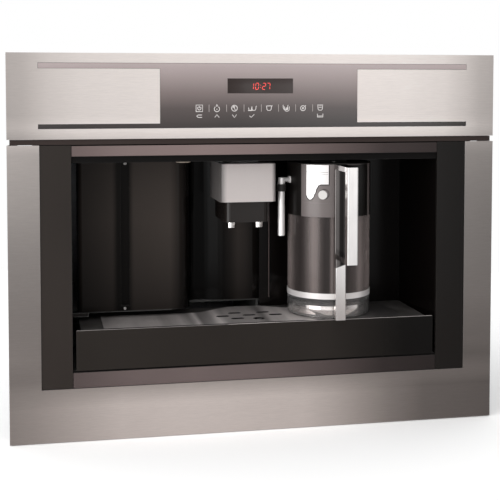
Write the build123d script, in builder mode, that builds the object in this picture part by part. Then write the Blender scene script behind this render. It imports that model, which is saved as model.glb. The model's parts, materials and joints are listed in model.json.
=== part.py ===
"""Built-in bean-to-cup coffee machine on telescopic runners, for a 560 x 450 mm cabinet niche.

Millimetres. Origin at the centre of the runner plate's rest face. +X to the user's right,
+Y into the cabinet, +Z up. Heights count from the front's lower edge and depths from the
front face; height_of() and depth_of() turn them into Z and Y.
"""
from build123d import *
import math
import os

os.makedirs("parts", exist_ok=True)

# ---------------------------------------------------------------- driving dimensions
# overall
front_width = 594.0
front_height = 455.0
body_depth = 374.0        # behind the cabinet's front edge
front_overlap = 29.0      # the front's edge beyond the housing, per side
front_reach = 22.0        # from the front face back to the cabinet's front edge
front_lift = 1.0          # the front's lower edge above the niche floor
body_top_drop = 12.0      # the housing's top below the front's upper edge
body_floor_height = 52.0  # the housing's floor above the front's lower edge

# clearances
seam = 0.4                # visible joint between fixed front pieces
slide_gap = 0.4           # between bodies that slide or swing past each other
turn_gap = 0.05           # radial, shaft in its bore
push_gap = 0.3            # around a button, knob or glass in its hole
through = 2.0             # how far a cut runs past a face

# sheet and wall thicknesses
front_sheet = 2.0
body_sheet = 1.2
plate_sheet = 1.5
liner_wall = 2.5
liner_gap = 0.2
glass_thick = 3.0
carrier_thick = 2.5

# front layout
control_height = 100.1
gap_height = 6.8
gap_inset = 1.2
frame_side = 36.7
frame_bottom = 62.4
border_width = 36.5
border_recess = 1.0
strip_height = 12.0
strip_gap = 1.1
sill_height = 18.3
carrier_wall = 3.0        # the front carrier's own ring
carrier_low_drop = 9.0    # the ring below the window
carrier_high_gap = 1.0    # the ring under the top sheet
hem_width = 12.0          # the side frame's rear hem, which meets the cabinet

# control glass
glass_half_width = 120.2
glass_margin_low = 12.4
glass_margin_high = 11.7
arm_margin = 36.0         # the glass arm's end from the front's edge
arm_low_height = 5.0
arm_high_height = 6.1
display_width = 80.0
display_height = 17.8
display_rise = 40.6       # display's lower edge above the glass's lower edge
glass_setback = 0.2
display_thick = 2.4
board_thick = 1.6
board_side_margin = 8.0
board_margin = 4.0
board_post_inset = 16.0
board_post_radius = 3.0

# niche
ceiling_drop = 8.0        # niche ceiling below the top strip
ceiling_thick = 3.0
niche_depth = 115.0
niche_taper = 9.0         # how far the right wall leans in at the back
light_radius = 9.0
light_thick = 2.0
light_edge = 0.8
light_left_x = -90.0
light_left_depth = 24.0
light_right_inset = 55.0
light_right_depth = 40.0
bay_clearance = 10.0      # from the niche's back wall to the housing's inner bay

# drip tray
tray_gap = 2.3
tray_front_height = 47.4
tray_front_thick = 4.0
tray_side_gap = 4.0
tray_wall = 2.5
tray_back_gap = 3.0
tray_jamb_gap = 0.5       # the pan in front of the door's jamb
shelf_thick = 3.0
plate_thick = 1.5
plate_drop = 0.2          # plate's top below the tray front's upper edge
plate_left_margin = 36.8  # the plate's edge from the niche wall
plate_right_margin = 40.8
plate_corner = 15.0
plate_front_depth = 9.0
plate_left_depth = 79.0
plate_right_depth = 87.0
plate_bay_depth = 107.0
plate_bay_from_spout = (-54.0, -14.0, 27.0, 61.0)
drain_places = [(-11.0, 66.0), (25.0, 65.0), (5.0, 51.0), (-29.0, 50.0), (38.0, 48.0), (-13.0, 34.0)]
well_inset = 15.0
well_front_depth = 17.0
well_back_depth = 69.0
shelf_leg_inset = 20.0
tray_front_setback = 0.8
tray_edge = 0.6
pan_side_gap = 1.0
drain_slot_length = 15.0
drain_slot_width = 6.0
float_radius = 6.0
float_body = 14.0
float_flange = 4.0
float_offset = 13.0
float_depth = 29.0
float_top_drop = 2.0

# service door
door_face_depth = 65.0
door_side_gap = 8.8
door_wall = 4.0
door_panel_right = -76.0
door_edge_x = 22.0        # the door's free edge
jamb_gap = 0.6
jamb_width = 13.4
jamb_setback = 2.5        # the jamb behind the column's front
column_depth = 110.0
column_root_depth = 118.0
door_low_gap = 8.6        # door above the tray front
door_high_gap = 3.0       # door below the ceiling
groove_offset = 53.0      # finger groove from the door's left edge
groove_width = 11.0
groove_depth = 6.0
groove_wall = 3.0
hinge_barrel = 6.5
hinge_pin_radius = 2.5
hinge_foot_gap = 3.2
hinge_foot_thick = 2.0
hinge_foot_half = 8.0
groove_sill = 6.0
column_half_left = 20.0
column_half_right = 21.0
catch_width = 10.0
catch_thick = 8.0
catch_drop = 30.0
catch_height = 30.0

# coffee spout
spout_x = -8.5
spout_width = 70.0
spout_front_depth = 30.0
spout_corner = 6.0
spout_cap_height = 47.4
spout_cap_wall = 2.0
spout_high_gap = 5.0
spout_body_width = 56.0
spout_body_setback = 6.0
spout_body_drop = 25.6
nozzle_pitch = 35.0
nozzle_radius = 5.6
nozzle_bore = 3.2
nozzle_drop = 8.0
nozzle_setback = 24.0
spout_travel = 40.0
tongue_width = 12.0
tongue_height = 26.0
keeper_width = 26.0
keeper_thick = 3.0
spout_edge = 0.8
spout_body_corner = 8.0
spout_body_wall = 6.0
spout_body_gap = 0.2
nozzle_block = 34.0       # the solid foot of the spout body that holds the nozzles
tongue_drop = 8.0

# milk container
jug_x = 100.0
jug_back_gap = 8.0        # the container in front of the niche's back wall
jug_radius = 52.0
jug_wall = 2.6
jug_floor = 4.0
jug_lift = 0.4            # container above the tray front's upper edge
jug_base_height = 24.2
jug_base_wall = 6.0
band_height = 7.1
band_rise = 0.4
lid_height = 65.5
lid_high_gap = 5.0
lid_wall = 3.0
lid_plug_depth = 8.0
lid_dial_radius = 30.0
lid_dial_height = 9.0
lid_plate_thick = 1.4
lid_plate_span = 108.0    # degrees
lid_plate_low_height = 17.0
lid_plate_line = 0.8
lid_plate_line_deep = 0.4
lid_cavity = 38.0
lid_edge = 1.0
jug_base_edge = 3.0
intake_radius = 3.0
intake_wall = 1.0
intake_offset = 44.0
intake_floor_gap = 3.0
dial_rise = 3.0
dial_grip_half = 24.0
dial_grip_thick = 4.0
button_radius = 5.5
button_travel = 2.5
button_inner_gap = 2.0
button_rise = 0.9
button_angle = 247.0      # degrees round the lid, from +X
button_drop = 38.0        # below the lid's top
nozzle_pin_radius = 5.0
nozzle_pin_reach = 12.0
nozzle_pin_drop = 22.0
nozzle_pin_bore = 1.5
nozzle_flange = 3.0

# milk container handle
handle_x = 98.5
handle_width = 13.0
handle_low_reach = 9.0    # from the handle's back to the lower bar's front
handle_grip_reach = 58.0
handle_grip_thick = 11.0
handle_step = 76.0        # the step's underside above the container's base
handle_bar = 6.0
handle_strap = 5.0
handle_lift = 0.6
handle_gap = 0.1
handle_drop = 0.5
handle_edge = 1.2

# milk spout
milk_tube_radius = 4.3
milk_tube_bore = 2.6
milk_arm_x = 16.0
milk_arm_y = 4.0
milk_tube_drop = 74.0
milk_tube_edge = 1.0
milk_collar_radius = 6.0
milk_collar_height = 9.0
milk_collar_drop = 1.5
milk_pivot_inset = 5.0    # the pivot inside the jug's left side
milk_pivot_offset = 3.0   # the pivot in front of the jug's centre
milk_pivot_radius = 2.5
milk_hub_radius = 6.5
milk_hub_height = 8.0
milk_hub_drop = 18.0      # hub's top below the lid's top
milk_notch_radius = 8.5
milk_notch_rise = 1.0
milk_arm_radius = 3.0

# runner plate and runners
base_side_gap = 18.0      # the runner plate's edge inside the housing's side
base_depth = 350.0
base_setback = 11.0       # behind the cabinet's front edge
runner_side_gap = 43.0    # the runners' inner faces inside the housing's side
runner_length = 340.0
runner_height = 44.0
runner_thick = 12.7
runner_sheet = 1.4
runner_step = 4.0         # each member's height inside the next, per side
runner_lift = 2.0
member_gap = 1.2          # between a member's web and the next one
middle_lip = 1.7
outer_lip = 2.6
glide_inset = 2.0
glide_length = 40.0
screw_spacing_x = 400.0
screw_spacing_y = 280.0
screw_hole_radius = 2.75

# inner fittings
tank_width = 108.0
tank_back_gap = 165.0     # from the water tank to the housing's rear
tank_corner = 8.0
tank_front_gap = 16.0     # behind the service door's face
hose_bay = 105.0          # from the inner shelf to the housing's rear
shelf_margin = 10.0
shelf_gap = 1.0
shelf_door_gap = 1.5
tank_wall = 2.5
tank_side_gap = 9.0
tank_high_gap = 12.0
grounds_width = 78.0
grounds_depth = 92.0
grounds_height = 96.0
grounds_wall = 2.5
grounds_corner = 6.0
grounds_gap = 22.0
brew_depth = 88.0
brew_gap = 10.0
brew_inset = 4.0
brew_axis_shift = 6.0
brew_width = 92.0
brew_plate = 4.0
chamber_radius = 24.0
chamber_wall = 3.0
chamber_height = 62.0
piston_height = 16.0
piston_lift = 10.0
nut_lift = 6.0
nut_height = 12.0
nut_half = 7.0
brew_headroom = 72.0
journal_radius = 3.0
gear_radius = 14.0
gear_thick = 6.0
piston_rod_radius = 5.0
spindle_radius = 5.0
spindle_offset = 34.0
hopper_width = 150.0
hopper_depth = 150.0
hopper_height = 74.0
hopper_wall = 2.5
hopper_x = 120.0
hopper_corner = 6.0
hopper_back_gap = 46.0
hopper_flange = 4.0
hopper_flange_inner = 3.0
hopper_throat = 16.0
hopper_seat = 0.3
rim_thick = 1.0
knob_offset = 34.0
grinder_radius = 36.0
grinder_height = 60.0
burr_radius = 24.0
burr_height = 16.0
burr_room = 4.0
burr_lift = 2.0
burr_shaft_radius = 4.0
burr_shaft_drop = 12.0
burr_teeth = 12
burr_tooth_radius = 2.2
grinder_floor = 6.0
motor_socket = 14.0
motor_radius = 27.0
motor_height = 70.0
lid_thick = 2.4
lid_gap = 0.3
lid_overhang = 3.0
lid_tab_inset = 6.0
lid_recess_radius = 12.0
lid_recess_inset = 16.0
lid_skin = 1.2
bean_pin_radius = 1.3
bean_tube_radius = 2.5
bean_hinge_gap = 9.0
bean_ear_width = 5.0
bean_ear_half = 2.5
bean_ear_rise = 2.2
bean_pin_inset = 4.0
knob_radius = 17.0
knob_skirt = 4.0
knob_flange = 2.0
knob_rise = 2.4
knob_grip_rise = 1.6
knob_grip_half = 2.5
pump_radius = 20.0
pump_length = 110.0
pump_back_gap = 52.0
pump_lift = 3.0
pump_offset = 15.0
pump_neck = 14.0
pump_foot_inset = 20.0
pump_foot_width = 8.0
boiler_radius = 34.0
boiler_height = 120.0
steam_radius = 27.0
steam_height = 110.0
boiler_offset = 28.0
boiler_depth = 216.0
steam_offset = 50.0
steam_depth = 205.0
boiler_lift = 6.0
boiler_edge = 5.0
boiler_foot_inset = 8.0
boiler_foot_radius = 4.0
boiler_foot_height = 12.0
hose_radius = 4.0
hose_bend = 14.0
hose_rise = 12.0
inlet_width = 27.0
inlet_height = 20.0
inlet_length = 22.0
inlet_side_gap = 60.0
inlet_rise = 38.0
inlet_fit = 0.3
inlet_flange_side = 5.0
inlet_flange_high = 3.0
inlet_flange_thick = 2.0
socket_half_width = 11.0
socket_half_height = 6.5
socket_floor = 3.0
socket_pins = ((-7.0, -1.5), (0.0, 1.5), (7.0, -1.5))
pin_half_width = 1.0
pin_half_height = 2.0
rocker_width = 13.0
rocker_height = 21.0
rocker_spacing = 48.0     # from the inlet's middle to the switch's
rocker_window = 1.5
rocker_axis_drop = 4.0
rocker_back = 7.0
rocker_rise = 1.2
rocker_pin_radius = 1.5
bracket_gap = 0.5
bracket_thick = 2.0
bracket_depth = 10.0
bridge_thick = 3.0
bridge_half = 6.0
screw_head_radius = 3.6
screw_shank_radius = 1.6
screw_head_height = 1.8
screw_shank_length = 8.0
screw_inset = 12.0
screw_clearance = 0.2
side_vent_rows = 5
side_vent_pitch = 12.0
side_vent_height = 4.0
side_vent_drop = 60.0
side_vent_near = 60.0     # from the housing's rear
side_vent_far = 150.0
rear_vent_rows = 6
rear_vent_pitch = 14.0
rear_vent_height = 5.0
rear_vent_half = 24.0
rear_vent_step = 62.0
rear_vent_drop = 70.0

# ---------------------------------------------------------------- derived places
front_y = -(base_depth / 2 + base_setback + front_reach)


def depth_of(depth):
    """Y of a point that lies `depth` behind the front face."""
    return front_y + depth


def height_of(height):
    """Z of a point that lies `height` above the front's lower edge."""
    return front_lift + height


half_front = front_width / 2
half_body = half_front - front_overlap
base_width = 2 * (half_body - base_side_gap)
runner_x = half_body - runner_side_gap
window_x = half_front - frame_side
niche_x = window_x - border_width
cabinet_y = depth_of(front_reach)
body_back = cabinet_y + body_depth
front_top = height_of(front_height)
body_top = front_top - body_top_drop
body_floor = height_of(body_floor_height)
control_low = front_top - control_height
frame_top = control_low - gap_height
window_low = height_of(frame_bottom)
strip_top = frame_top - strip_gap
strip_low = strip_top - strip_height
ceiling_z = strip_low - ceiling_drop
sill_top = window_low + sill_height
tray_low = sill_top + tray_gap
tray_top = tray_low + tray_front_height
plate_top = tray_top - plate_drop
plate_left = niche_x - plate_left_margin
plate_right = niche_x - plate_right_margin
border_front = depth_of(border_recess)
border_back = border_front + liner_wall
carrier_front = depth_of(front_reach - carrier_thick)
carrier_back = depth_of(front_reach)
back_wall_y = depth_of(niche_depth)


def slab(xs, ys, zs, mode=Mode.ADD):
    """A block between two X, two Y and two Z values, in the open part."""
    centre = ((xs[0] + xs[1]) / 2, (ys[0] + ys[1]) / 2, (zs[0] + zs[1]) / 2)
    with Locations(centre):
        Box(xs[1] - xs[0], ys[1] - ys[0], zs[1] - zs[0], mode=mode)


def rod(x, y, zs, radius, mode=Mode.ADD):
    """An upright round bar between two Z values, in the open part."""
    with Locations((x, y, (zs[0] + zs[1]) / 2)):
        Cylinder(radius, zs[1] - zs[0], mode=mode)


def rod_y(x, z, ys, radius, mode=Mode.ADD):
    """A round bar along Y, in the open part."""
    with Locations(Location((x, (ys[0] + ys[1]) / 2, z), (90, 0, 0))):
        Cylinder(radius, ys[1] - ys[0], mode=mode)


def rod_x(y, z, xs, radius, mode=Mode.ADD):
    """A round bar along X, in the open part."""
    with Locations(Location(((xs[0] + xs[1]) / 2, y, z), (0, 90, 0))):
        Cylinder(radius, xs[1] - xs[0], mode=mode)


def keep(piece, name):
    """Labels a finished piece and writes its file."""
    piece.part.label = name
    export_step(piece.part, f"parts/{name}.step")


# ---------------------------------------------------------------- runner plate and runners
runner_front = -runner_length / 2
runner_low = plate_sheet + runner_lift
runner_mid = runner_low + runner_height / 2
base_flange_x = runner_x + runner_thick

with BuildPart() as base_plate:
    slab((-base_width / 2, base_width / 2), (-base_depth / 2, base_depth / 2), (0, plate_sheet))
    for side in (-1, 1):
        flange = sorted((side * base_flange_x, side * (base_flange_x + plate_sheet)))
        slab(flange, (runner_front, -runner_front), (plate_sheet, runner_low + runner_height))
    with Locations((0, 0, plate_sheet)):
        with GridLocations(screw_spacing_x, screw_spacing_y, 2, 2):
            Hole(screw_hole_radius)
keep(base_plate, "base_plate")


def channel(side, web_face, open_face, half_height):
    """A runner member: a C section, its web outermost, lying along Y."""
    near, far = sorted((side * web_face, side * open_face))
    ends = (runner_front, -runner_front)
    slab((near, far), ends, (runner_mid - half_height, runner_mid + half_height))
    web_inner = web_face + math.copysign(runner_sheet, open_face - web_face)
    hollow = sorted((side * web_inner, side * (open_face + math.copysign(1, open_face - web_face))))
    inner_half = half_height - runner_sheet
    slab(hollow, ends, (runner_mid - inner_half, runner_mid + inner_half), mode=Mode.SUBTRACT)


outer_half = runner_height / 2
middle_half = outer_half - runner_sheet - runner_step
inner_half_height = middle_half - runner_sheet - runner_step
glide_thick = runner_step - slide_gap

with BuildPart() as runner_outer:
    for side in (-1, 1):
        channel(side, base_flange_x, runner_x + outer_lip, outer_half)
keep(runner_outer, "runner_outer")

middle_web = base_flange_x - runner_sheet - member_gap
middle_open = runner_x + middle_lip
glide_ends = (runner_length / 2 - glide_inset, runner_length / 2 - glide_inset - glide_length)
with BuildPart() as runner_middle:
    for side in (-1, 1):
        channel(side, middle_web, middle_open, middle_half)
        glide_x = sorted((side * middle_open, side * (middle_web - runner_sheet)))
        for end in (-1, 1):
            glide_y = sorted(end * reach for reach in glide_ends)
            for way in (-1, 1):
                pad = sorted((way * middle_half, way * (middle_half + glide_thick)))
                slab(glide_x, glide_y, (runner_mid + pad[0], runner_mid + pad[1]))
keep(runner_middle, "runner_middle")

inner_web = runner_x
inner_open = middle_web - runner_sheet - member_gap
with BuildPart() as runner_inner:
    for side in (-1, 1):
        channel(side, inner_web, inner_open, inner_half_height)
        for end in (-1, 1):
            glide_y = sorted(end * reach for reach in glide_ends)
            glide_x = sorted((side * (inner_web + runner_sheet), side * inner_open))
            for way in (-1, 1):
                pad = sorted((way * inner_half_height, way * (inner_half_height + glide_thick)))
                slab(glide_x, glide_y, (runner_mid + pad[0], runner_mid + pad[1]))
keep(runner_inner, "runner_inner")

# ---------------------------------------------------------------- housing
inlet_x = -half_body + inlet_side_gap
inlet_z = body_floor + inlet_rise
switch_x = inlet_x + rocker_spacing
panel_inner_x = half_body - body_sheet

with BuildPart() as chassis_pan:
    slab((-half_body, half_body), (carrier_back, body_back), (body_floor, body_floor + plate_sheet))
    for side in (-1, 1):
        leg = sorted((side * inner_web, side * (inner_web - plate_sheet)))
        leg_low = runner_mid - inner_half_height
        slab(leg, (runner_front, -runner_front), (leg_low, body_floor))
keep(chassis_pan, "chassis_pan")

with BuildPart() as side_panels:
    for side in (-1, 1):
        wall = sorted((side * half_body, side * panel_inner_x))
        slab(wall, (carrier_back, body_back), (body_floor + plate_sheet, body_top - body_sheet))
        for row in range(side_vent_rows):
            slot_low = body_top - side_vent_drop - side_vent_pitch * row
            slab(wall, (body_back - side_vent_far, body_back - side_vent_near),
                 (slot_low, slot_low + side_vent_height), mode=Mode.SUBTRACT)
keep(side_panels, "side_panels")

rear_low = body_floor + plate_sheet
rear_high = body_top - body_sheet
screw_places = [
    (side * (half_body - screw_inset), z)
    for side in (-1, 1)
    for z in (rear_low + screw_inset, (rear_low + rear_high) / 2, rear_high - screw_inset)
]

with BuildPart() as rear_panel:
    slab((-panel_inner_x, panel_inner_x), (body_back - body_sheet, body_back), (rear_low, rear_high))
    for column in range(-2, 3):
        for row in range(rear_vent_rows):
            slot_low = rear_high - rear_vent_drop - rear_vent_pitch * row
            slot_x = rear_vent_step * column
            slab((slot_x - rear_vent_half, slot_x + rear_vent_half), (body_back - body_sheet, body_back),
                 (slot_low, slot_low + rear_vent_height), mode=Mode.SUBTRACT)
    slab((inlet_x - inlet_width / 2, inlet_x + inlet_width / 2), (body_back - body_sheet, body_back),
         (inlet_z - inlet_height / 2, inlet_z + inlet_height / 2), mode=Mode.SUBTRACT)
    slab((switch_x - rocker_width / 2 - rocker_window, switch_x + rocker_width / 2 + rocker_window),
         (body_back - body_sheet, body_back),
         (inlet_z - rocker_height / 2 - rocker_window, inlet_z + rocker_height / 2 + rocker_window),
         mode=Mode.SUBTRACT)
    for x, z in screw_places:
        rod_y(x, z, (body_back - body_sheet, body_back), screw_shank_radius + screw_clearance,
              mode=Mode.SUBTRACT)
keep(rear_panel, "rear_panel")

with BuildPart() as panel_screws:
    for x, z in screw_places:
        rod_y(x, z, (body_back - screw_shank_length, body_back), screw_shank_radius)
        rod_y(x, z, (body_back, body_back + screw_head_height), screw_head_radius)
keep(panel_screws, "panel_screws")

# ---------------------------------------------------------------- front
glass_low = control_low + glass_margin_low
glass_high = front_top - glass_margin_high
glass_arm = half_front - arm_margin
front_ys = (front_y, depth_of(front_sheet))
return_ys = (depth_of(front_sheet), cabinet_y)
ring_outer_x = half_body
ring_inner_x = half_body - carrier_wall
ring_low = window_low - carrier_low_drop
ring_high = front_top - front_sheet - carrier_high_gap


def glass_outline(margin):
    """The control glass's H-shaped outline as four blocks, grown by a margin."""
    low, high = glass_low - margin, glass_high + margin
    arm = glass_arm + margin
    return [
        ((-glass_half_width - margin, glass_half_width + margin), (low, high)),
        ((-arm, arm), (low, glass_low + arm_low_height + margin)),
        ((-arm, arm), (glass_high - arm_high_height - margin, high)),
    ]


with BuildPart() as lower_frame:
    slab((-half_front, half_front), front_ys, (front_lift, frame_top))
    slab((-window_x, window_x), front_ys, (window_low, frame_top), mode=Mode.SUBTRACT)
    slab((-half_front, half_front), return_ys, (front_lift, front_lift + front_sheet))
    for side in (-1, 1):
        wall = sorted((side * half_front, side * (half_front - front_sheet)))
        slab(wall, return_ys, (front_lift, frame_top))
        hem = sorted((side * half_front, side * (half_front - hem_width)))
        slab(hem, (cabinet_y - front_sheet, cabinet_y), (front_lift, frame_top))
keep(lower_frame, "lower_frame")

with BuildPart() as control_panel:
    slab((-half_front, half_front), front_ys, (control_low, front_top))
    for xs, zs in glass_outline(push_gap):
        slab(xs, front_ys, zs, mode=Mode.SUBTRACT)
    slab((-half_front, half_front), return_ys, (front_top - front_sheet, front_top))
    for side in (-1, 1):
        wall = sorted((side * half_front, side * (half_front - front_sheet)))
        slab(wall, return_ys, (control_low, front_top))
        hem = sorted((side * half_front, side * (half_front - hem_width)))
        slab(hem, (cabinet_y - front_sheet, cabinet_y), (control_low, front_top))
keep(control_panel, "control_panel")

glass_front = depth_of(glass_setback)
glass_back = glass_front + glass_thick
with BuildPart() as control_glass:
    for xs, zs in glass_outline(0):
        slab(xs, (glass_front, glass_back), zs)
keep(control_glass, "control_glass")

display_low = glass_low + display_rise
board_front = glass_back + display_thick
with BuildPart() as control_board:
    slab((-display_width / 2, display_width / 2), (glass_back, board_front),
         (display_low, display_low + display_height))
    slab((-glass_half_width + board_side_margin, glass_half_width - board_side_margin),
         (board_front, board_front + board_thick), (glass_low + board_margin, glass_high - board_margin))
    for side in (-1, 1):
        rod_y(side * (glass_half_width - board_post_inset), (glass_low + glass_high) / 2,
              (board_front + board_thick, carrier_front), board_post_radius)
keep(control_board, "control_board")

shelf_top = tray_low
shelf_low = shelf_top - shelf_thick
ceiling_top = ceiling_z + ceiling_thick
window_side = niche_x + liner_wall + liner_gap
opening_zs = (shelf_low - liner_gap, ceiling_top + liner_gap)
with BuildPart() as front_carrier:
    slab((-half_body, half_body), (carrier_front, carrier_back), (ring_low, ring_high))
    slab((-window_side, window_side), (carrier_front, carrier_back), opening_zs, mode=Mode.SUBTRACT)
    slab((-ring_outer_x, ring_outer_x), return_ys, (ring_low, ring_high))
    slab((-ring_inner_x, ring_inner_x), (front_y, carrier_front),
         (ring_low + carrier_wall, ring_high - carrier_wall),
         mode=Mode.SUBTRACT)
    slab((-window_side, window_side), return_ys, opening_zs, mode=Mode.SUBTRACT)
    slab((-half_front + gap_inset + front_sheet, half_front - gap_inset - front_sheet),
         (depth_of(front_sheet), cabinet_y), (frame_top + seam, control_low - seam))
keep(front_carrier, "front_carrier")

leg_back = carrier_front
with BuildPart() as side_borders:
    for side in (-1, 1):
        face = sorted((side * (niche_x + seam), side * (window_x - seam)))
        slab(face, (border_front, border_back), (window_low + seam, frame_top - seam))
        leg = sorted((side * (window_x - seam), side * (window_x - seam - liner_wall)))
        slab(leg, (border_back, leg_back), (window_low + seam, frame_top - seam))
keep(side_borders, "side_borders")

with BuildPart() as cross_strips:
    cross_xs = (-niche_x + seam, niche_x - seam)
    slab(cross_xs, (border_front, border_back), (strip_low, strip_top))
    slab(cross_xs, (border_back, leg_back), (strip_top - liner_wall, strip_top))
    slab(cross_xs, (border_front, border_back), (window_low + seam, sill_top))
    slab(cross_xs, (border_back, leg_back), (window_low + seam, window_low + seam + liner_wall))
keep(cross_strips, "cross_strips")

# ---------------------------------------------------------------- niche
liner_front = border_back + seam
jamb_left = door_edge_x + jamb_gap
jamb_right = jamb_left + jamb_width
back_wall_rear = back_wall_y + liner_wall
bay_back = depth_of(niche_depth + bay_clearance)
jamb_front = depth_of(column_depth + jamb_setback)

with BuildPart() as niche_walls:
    slab((-niche_x - liner_wall, -niche_x), (liner_front, bay_back), (shelf_top, ceiling_z))
    with BuildSketch(Plane.XY.offset(shelf_top)) as wall_plan:
        with BuildLine():
            Polyline(
                (niche_x, liner_front),
                (niche_x + liner_wall, liner_front),
                (niche_x + liner_wall, cabinet_y),
                (niche_x - niche_taper + liner_wall, back_wall_rear),
                (jamb_left, back_wall_rear),
                (jamb_left, jamb_front),
                (jamb_right, jamb_front),
                (jamb_right, back_wall_y),
                (niche_x - niche_taper, back_wall_y),
                (niche_x, cabinet_y),
                close=True,
            )
        make_face()
    extrude(amount=ceiling_z - shelf_top)
keep(niche_walls, "niche_walls")

with BuildPart() as niche_ceiling:
    slab((-niche_x - liner_wall, niche_x + liner_wall), (liner_front, bay_back), (ceiling_z, ceiling_top))
    slab((-niche_x, niche_x), (liner_front, liner_front + liner_wall), (ceiling_top, strip_low - seam))
keep(niche_ceiling, "niche_ceiling")

light_places = [
    (light_left_x, depth_of(light_left_depth)),
    (niche_x - light_right_inset, depth_of(light_right_depth)),
]
with BuildPart() as cup_lights:
    for x, y in light_places:
        rod(x, y, (ceiling_z - light_thick, ceiling_z), light_radius)
    fillet(cup_lights.faces().group_by(Axis.Z)[0].edges(), light_edge)
keep(cup_lights, "cup_lights")

with BuildPart() as tray_shelf:
    slab((-niche_x - liner_wall, niche_x + liner_wall), (liner_front, bay_back), (shelf_low, shelf_top))
    for side in (-1, 1):
        leg = sorted((side * (niche_x - shelf_leg_inset), side * (niche_x - shelf_leg_inset - plate_sheet)))
        slab(leg, (carrier_back, bay_back), (body_floor + plate_sheet, shelf_low))
keep(tray_shelf, "tray_shelf")

# ---------------------------------------------------------------- drip tray
tray_x = niche_x - tray_side_gap
tray_front_y = depth_of(tray_front_setback)
pan_front = tray_front_y + tray_front_thick
pan_back = min(jamb_front - tray_jamb_gap, back_wall_y - tray_back_gap)
pan_low = tray_low + slide_gap
pan_high = plate_top - plate_thick
pan_x = niche_x - niche_taper - pan_side_gap
deck_low = pan_high - tray_wall
well_left, well_right = -plate_left + well_inset, plate_right - well_inset
well_front, well_back = depth_of(well_front_depth), depth_of(well_back_depth)
float_place = (spout_x + float_offset, depth_of(float_depth))

with BuildPart() as tray_front:
    slab((-tray_x, tray_x), (tray_front_y, pan_front), (tray_low, tray_top))
    fillet(tray_front.edges().filter_by(Axis.X).group_by(Axis.Y)[0], tray_edge)
keep(tray_front, "tray_front")

with BuildPart() as drip_pan:
    slab((-pan_x, pan_x), (pan_front, pan_back), (pan_low, pan_high))
    slab((-pan_x + tray_wall, pan_x - tray_wall), (pan_front + tray_wall, pan_back - tray_wall),
         (pan_low + tray_wall, deck_low), mode=Mode.SUBTRACT)
    slab((well_left, well_right), (well_front, well_back), (deck_low, pan_high), mode=Mode.SUBTRACT)
keep(drip_pan, "drip_pan")

plate_front = depth_of(plate_front_depth)
plate_shallow = depth_of(plate_left_depth)
plate_deep = depth_of(plate_bay_depth)
plate_middle = depth_of(plate_right_depth)
bay_a, bay_b, bay_c, bay_d = (spout_x + offset_x for offset_x in plate_bay_from_spout)
with BuildPart() as drip_plate:
    with BuildSketch(Plane.XY.offset(pan_high)) as plate_plan:
        with BuildLine():
            Polyline(
                (-plate_left, plate_front),
                (-plate_left, plate_shallow),
                (bay_a, plate_shallow),
                (bay_b, plate_deep),
                (bay_c, plate_deep),
                (bay_d, plate_middle),
                (plate_right, plate_middle),
                (plate_right, plate_front),
                close=True,
            )
        make_face()
        back_corners = plate_plan.vertices().filter_by_position(
            Axis.X, -plate_left + 1, plate_right + 1).filter_by_position(
            Axis.Y, plate_shallow - 1, plate_deep + 1)
        fillet(back_corners, plate_corner)
        for dx, depth in drain_places:
            with Locations((spout_x + dx, depth_of(depth))):
                SlotOverall(drain_slot_length, drain_slot_width, mode=Mode.SUBTRACT)
        with Locations(float_place):
            Circle(float_radius + slide_gap, mode=Mode.SUBTRACT)
    extrude(amount=plate_thick)
keep(drip_plate, "drip_plate")

float_low = pan_low + tray_wall + slide_gap
with BuildPart() as tray_float:
    rod(*float_place, (float_low, float_low + float_body), float_radius + float_flange)
    rod(*float_place, (float_low + float_body, plate_top - float_top_drop), float_radius)
keep(tray_float, "tray_float")

# ---------------------------------------------------------------- service door
door_left = -niche_x + door_side_gap
hinge_x = door_left + hinge_barrel
hinge_y = depth_of(door_face_depth) + hinge_barrel
door_low = tray_top + door_low_gap
door_high = ceiling_z - door_high_gap
groove_left = door_left + groove_offset
groove_right = groove_left + groove_width
door_face = depth_of(door_face_depth)
column_left, column_right = spout_x - column_half_left, spout_x + column_half_right
slot_high = ceiling_z - spout_high_gap - tongue_drop
slot_low = slot_high - tongue_height - spout_travel - 2

with BuildPart() as service_door:
    with BuildSketch(Plane.XY.offset(door_low)) as door_plan:
        with BuildLine():
            FilletPolyline(
                (hinge_x, door_face),
                (door_panel_right, door_face),
                (door_panel_right + 4, depth_of(column_root_depth)),
                (column_left - 20, depth_of(column_root_depth)),
                (column_left, depth_of(column_depth)),
                (column_right, depth_of(column_depth)),
                (door_edge_x, jamb_front),
                radius=[17, 10, 12, 25, 8],
            )
            offset(amount=door_wall, side=Side.LEFT)
        make_face()
    extrude(amount=door_high - door_low)
    slab((groove_left - groove_wall, groove_right + groove_wall),
         (door_face + door_wall / 2, door_face + groove_depth + groove_wall), (door_low, door_high))
    slab((groove_left, groove_right), (door_face - 1, door_face + groove_depth),
         (door_low + groove_sill, door_high), mode=Mode.SUBTRACT)
    rod(hinge_x, hinge_y, (door_low, door_high), hinge_barrel)
    rod(hinge_x, hinge_y, (door_low, door_high), hinge_pin_radius + turn_gap, mode=Mode.SUBTRACT)
    slab((spout_x - tongue_width / 2 - slide_gap, spout_x + tongue_width / 2 + slide_gap),
         (depth_of(column_depth) - 2, depth_of(column_depth) + door_wall + 2), (slot_low, slot_high),
         mode=Mode.SUBTRACT)
keep(service_door, "service_door")

pin_foot = door_low - hinge_foot_gap
with BuildPart() as door_hinge_pin:
    rod(hinge_x, hinge_y, (pin_foot, ceiling_z), hinge_pin_radius)
    slab((-niche_x, hinge_x + hinge_barrel), (hinge_y - hinge_foot_half, hinge_y + hinge_foot_half),
         (pin_foot - hinge_foot_thick, door_low - slide_gap))
keep(door_hinge_pin, "door_hinge_pin")

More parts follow.
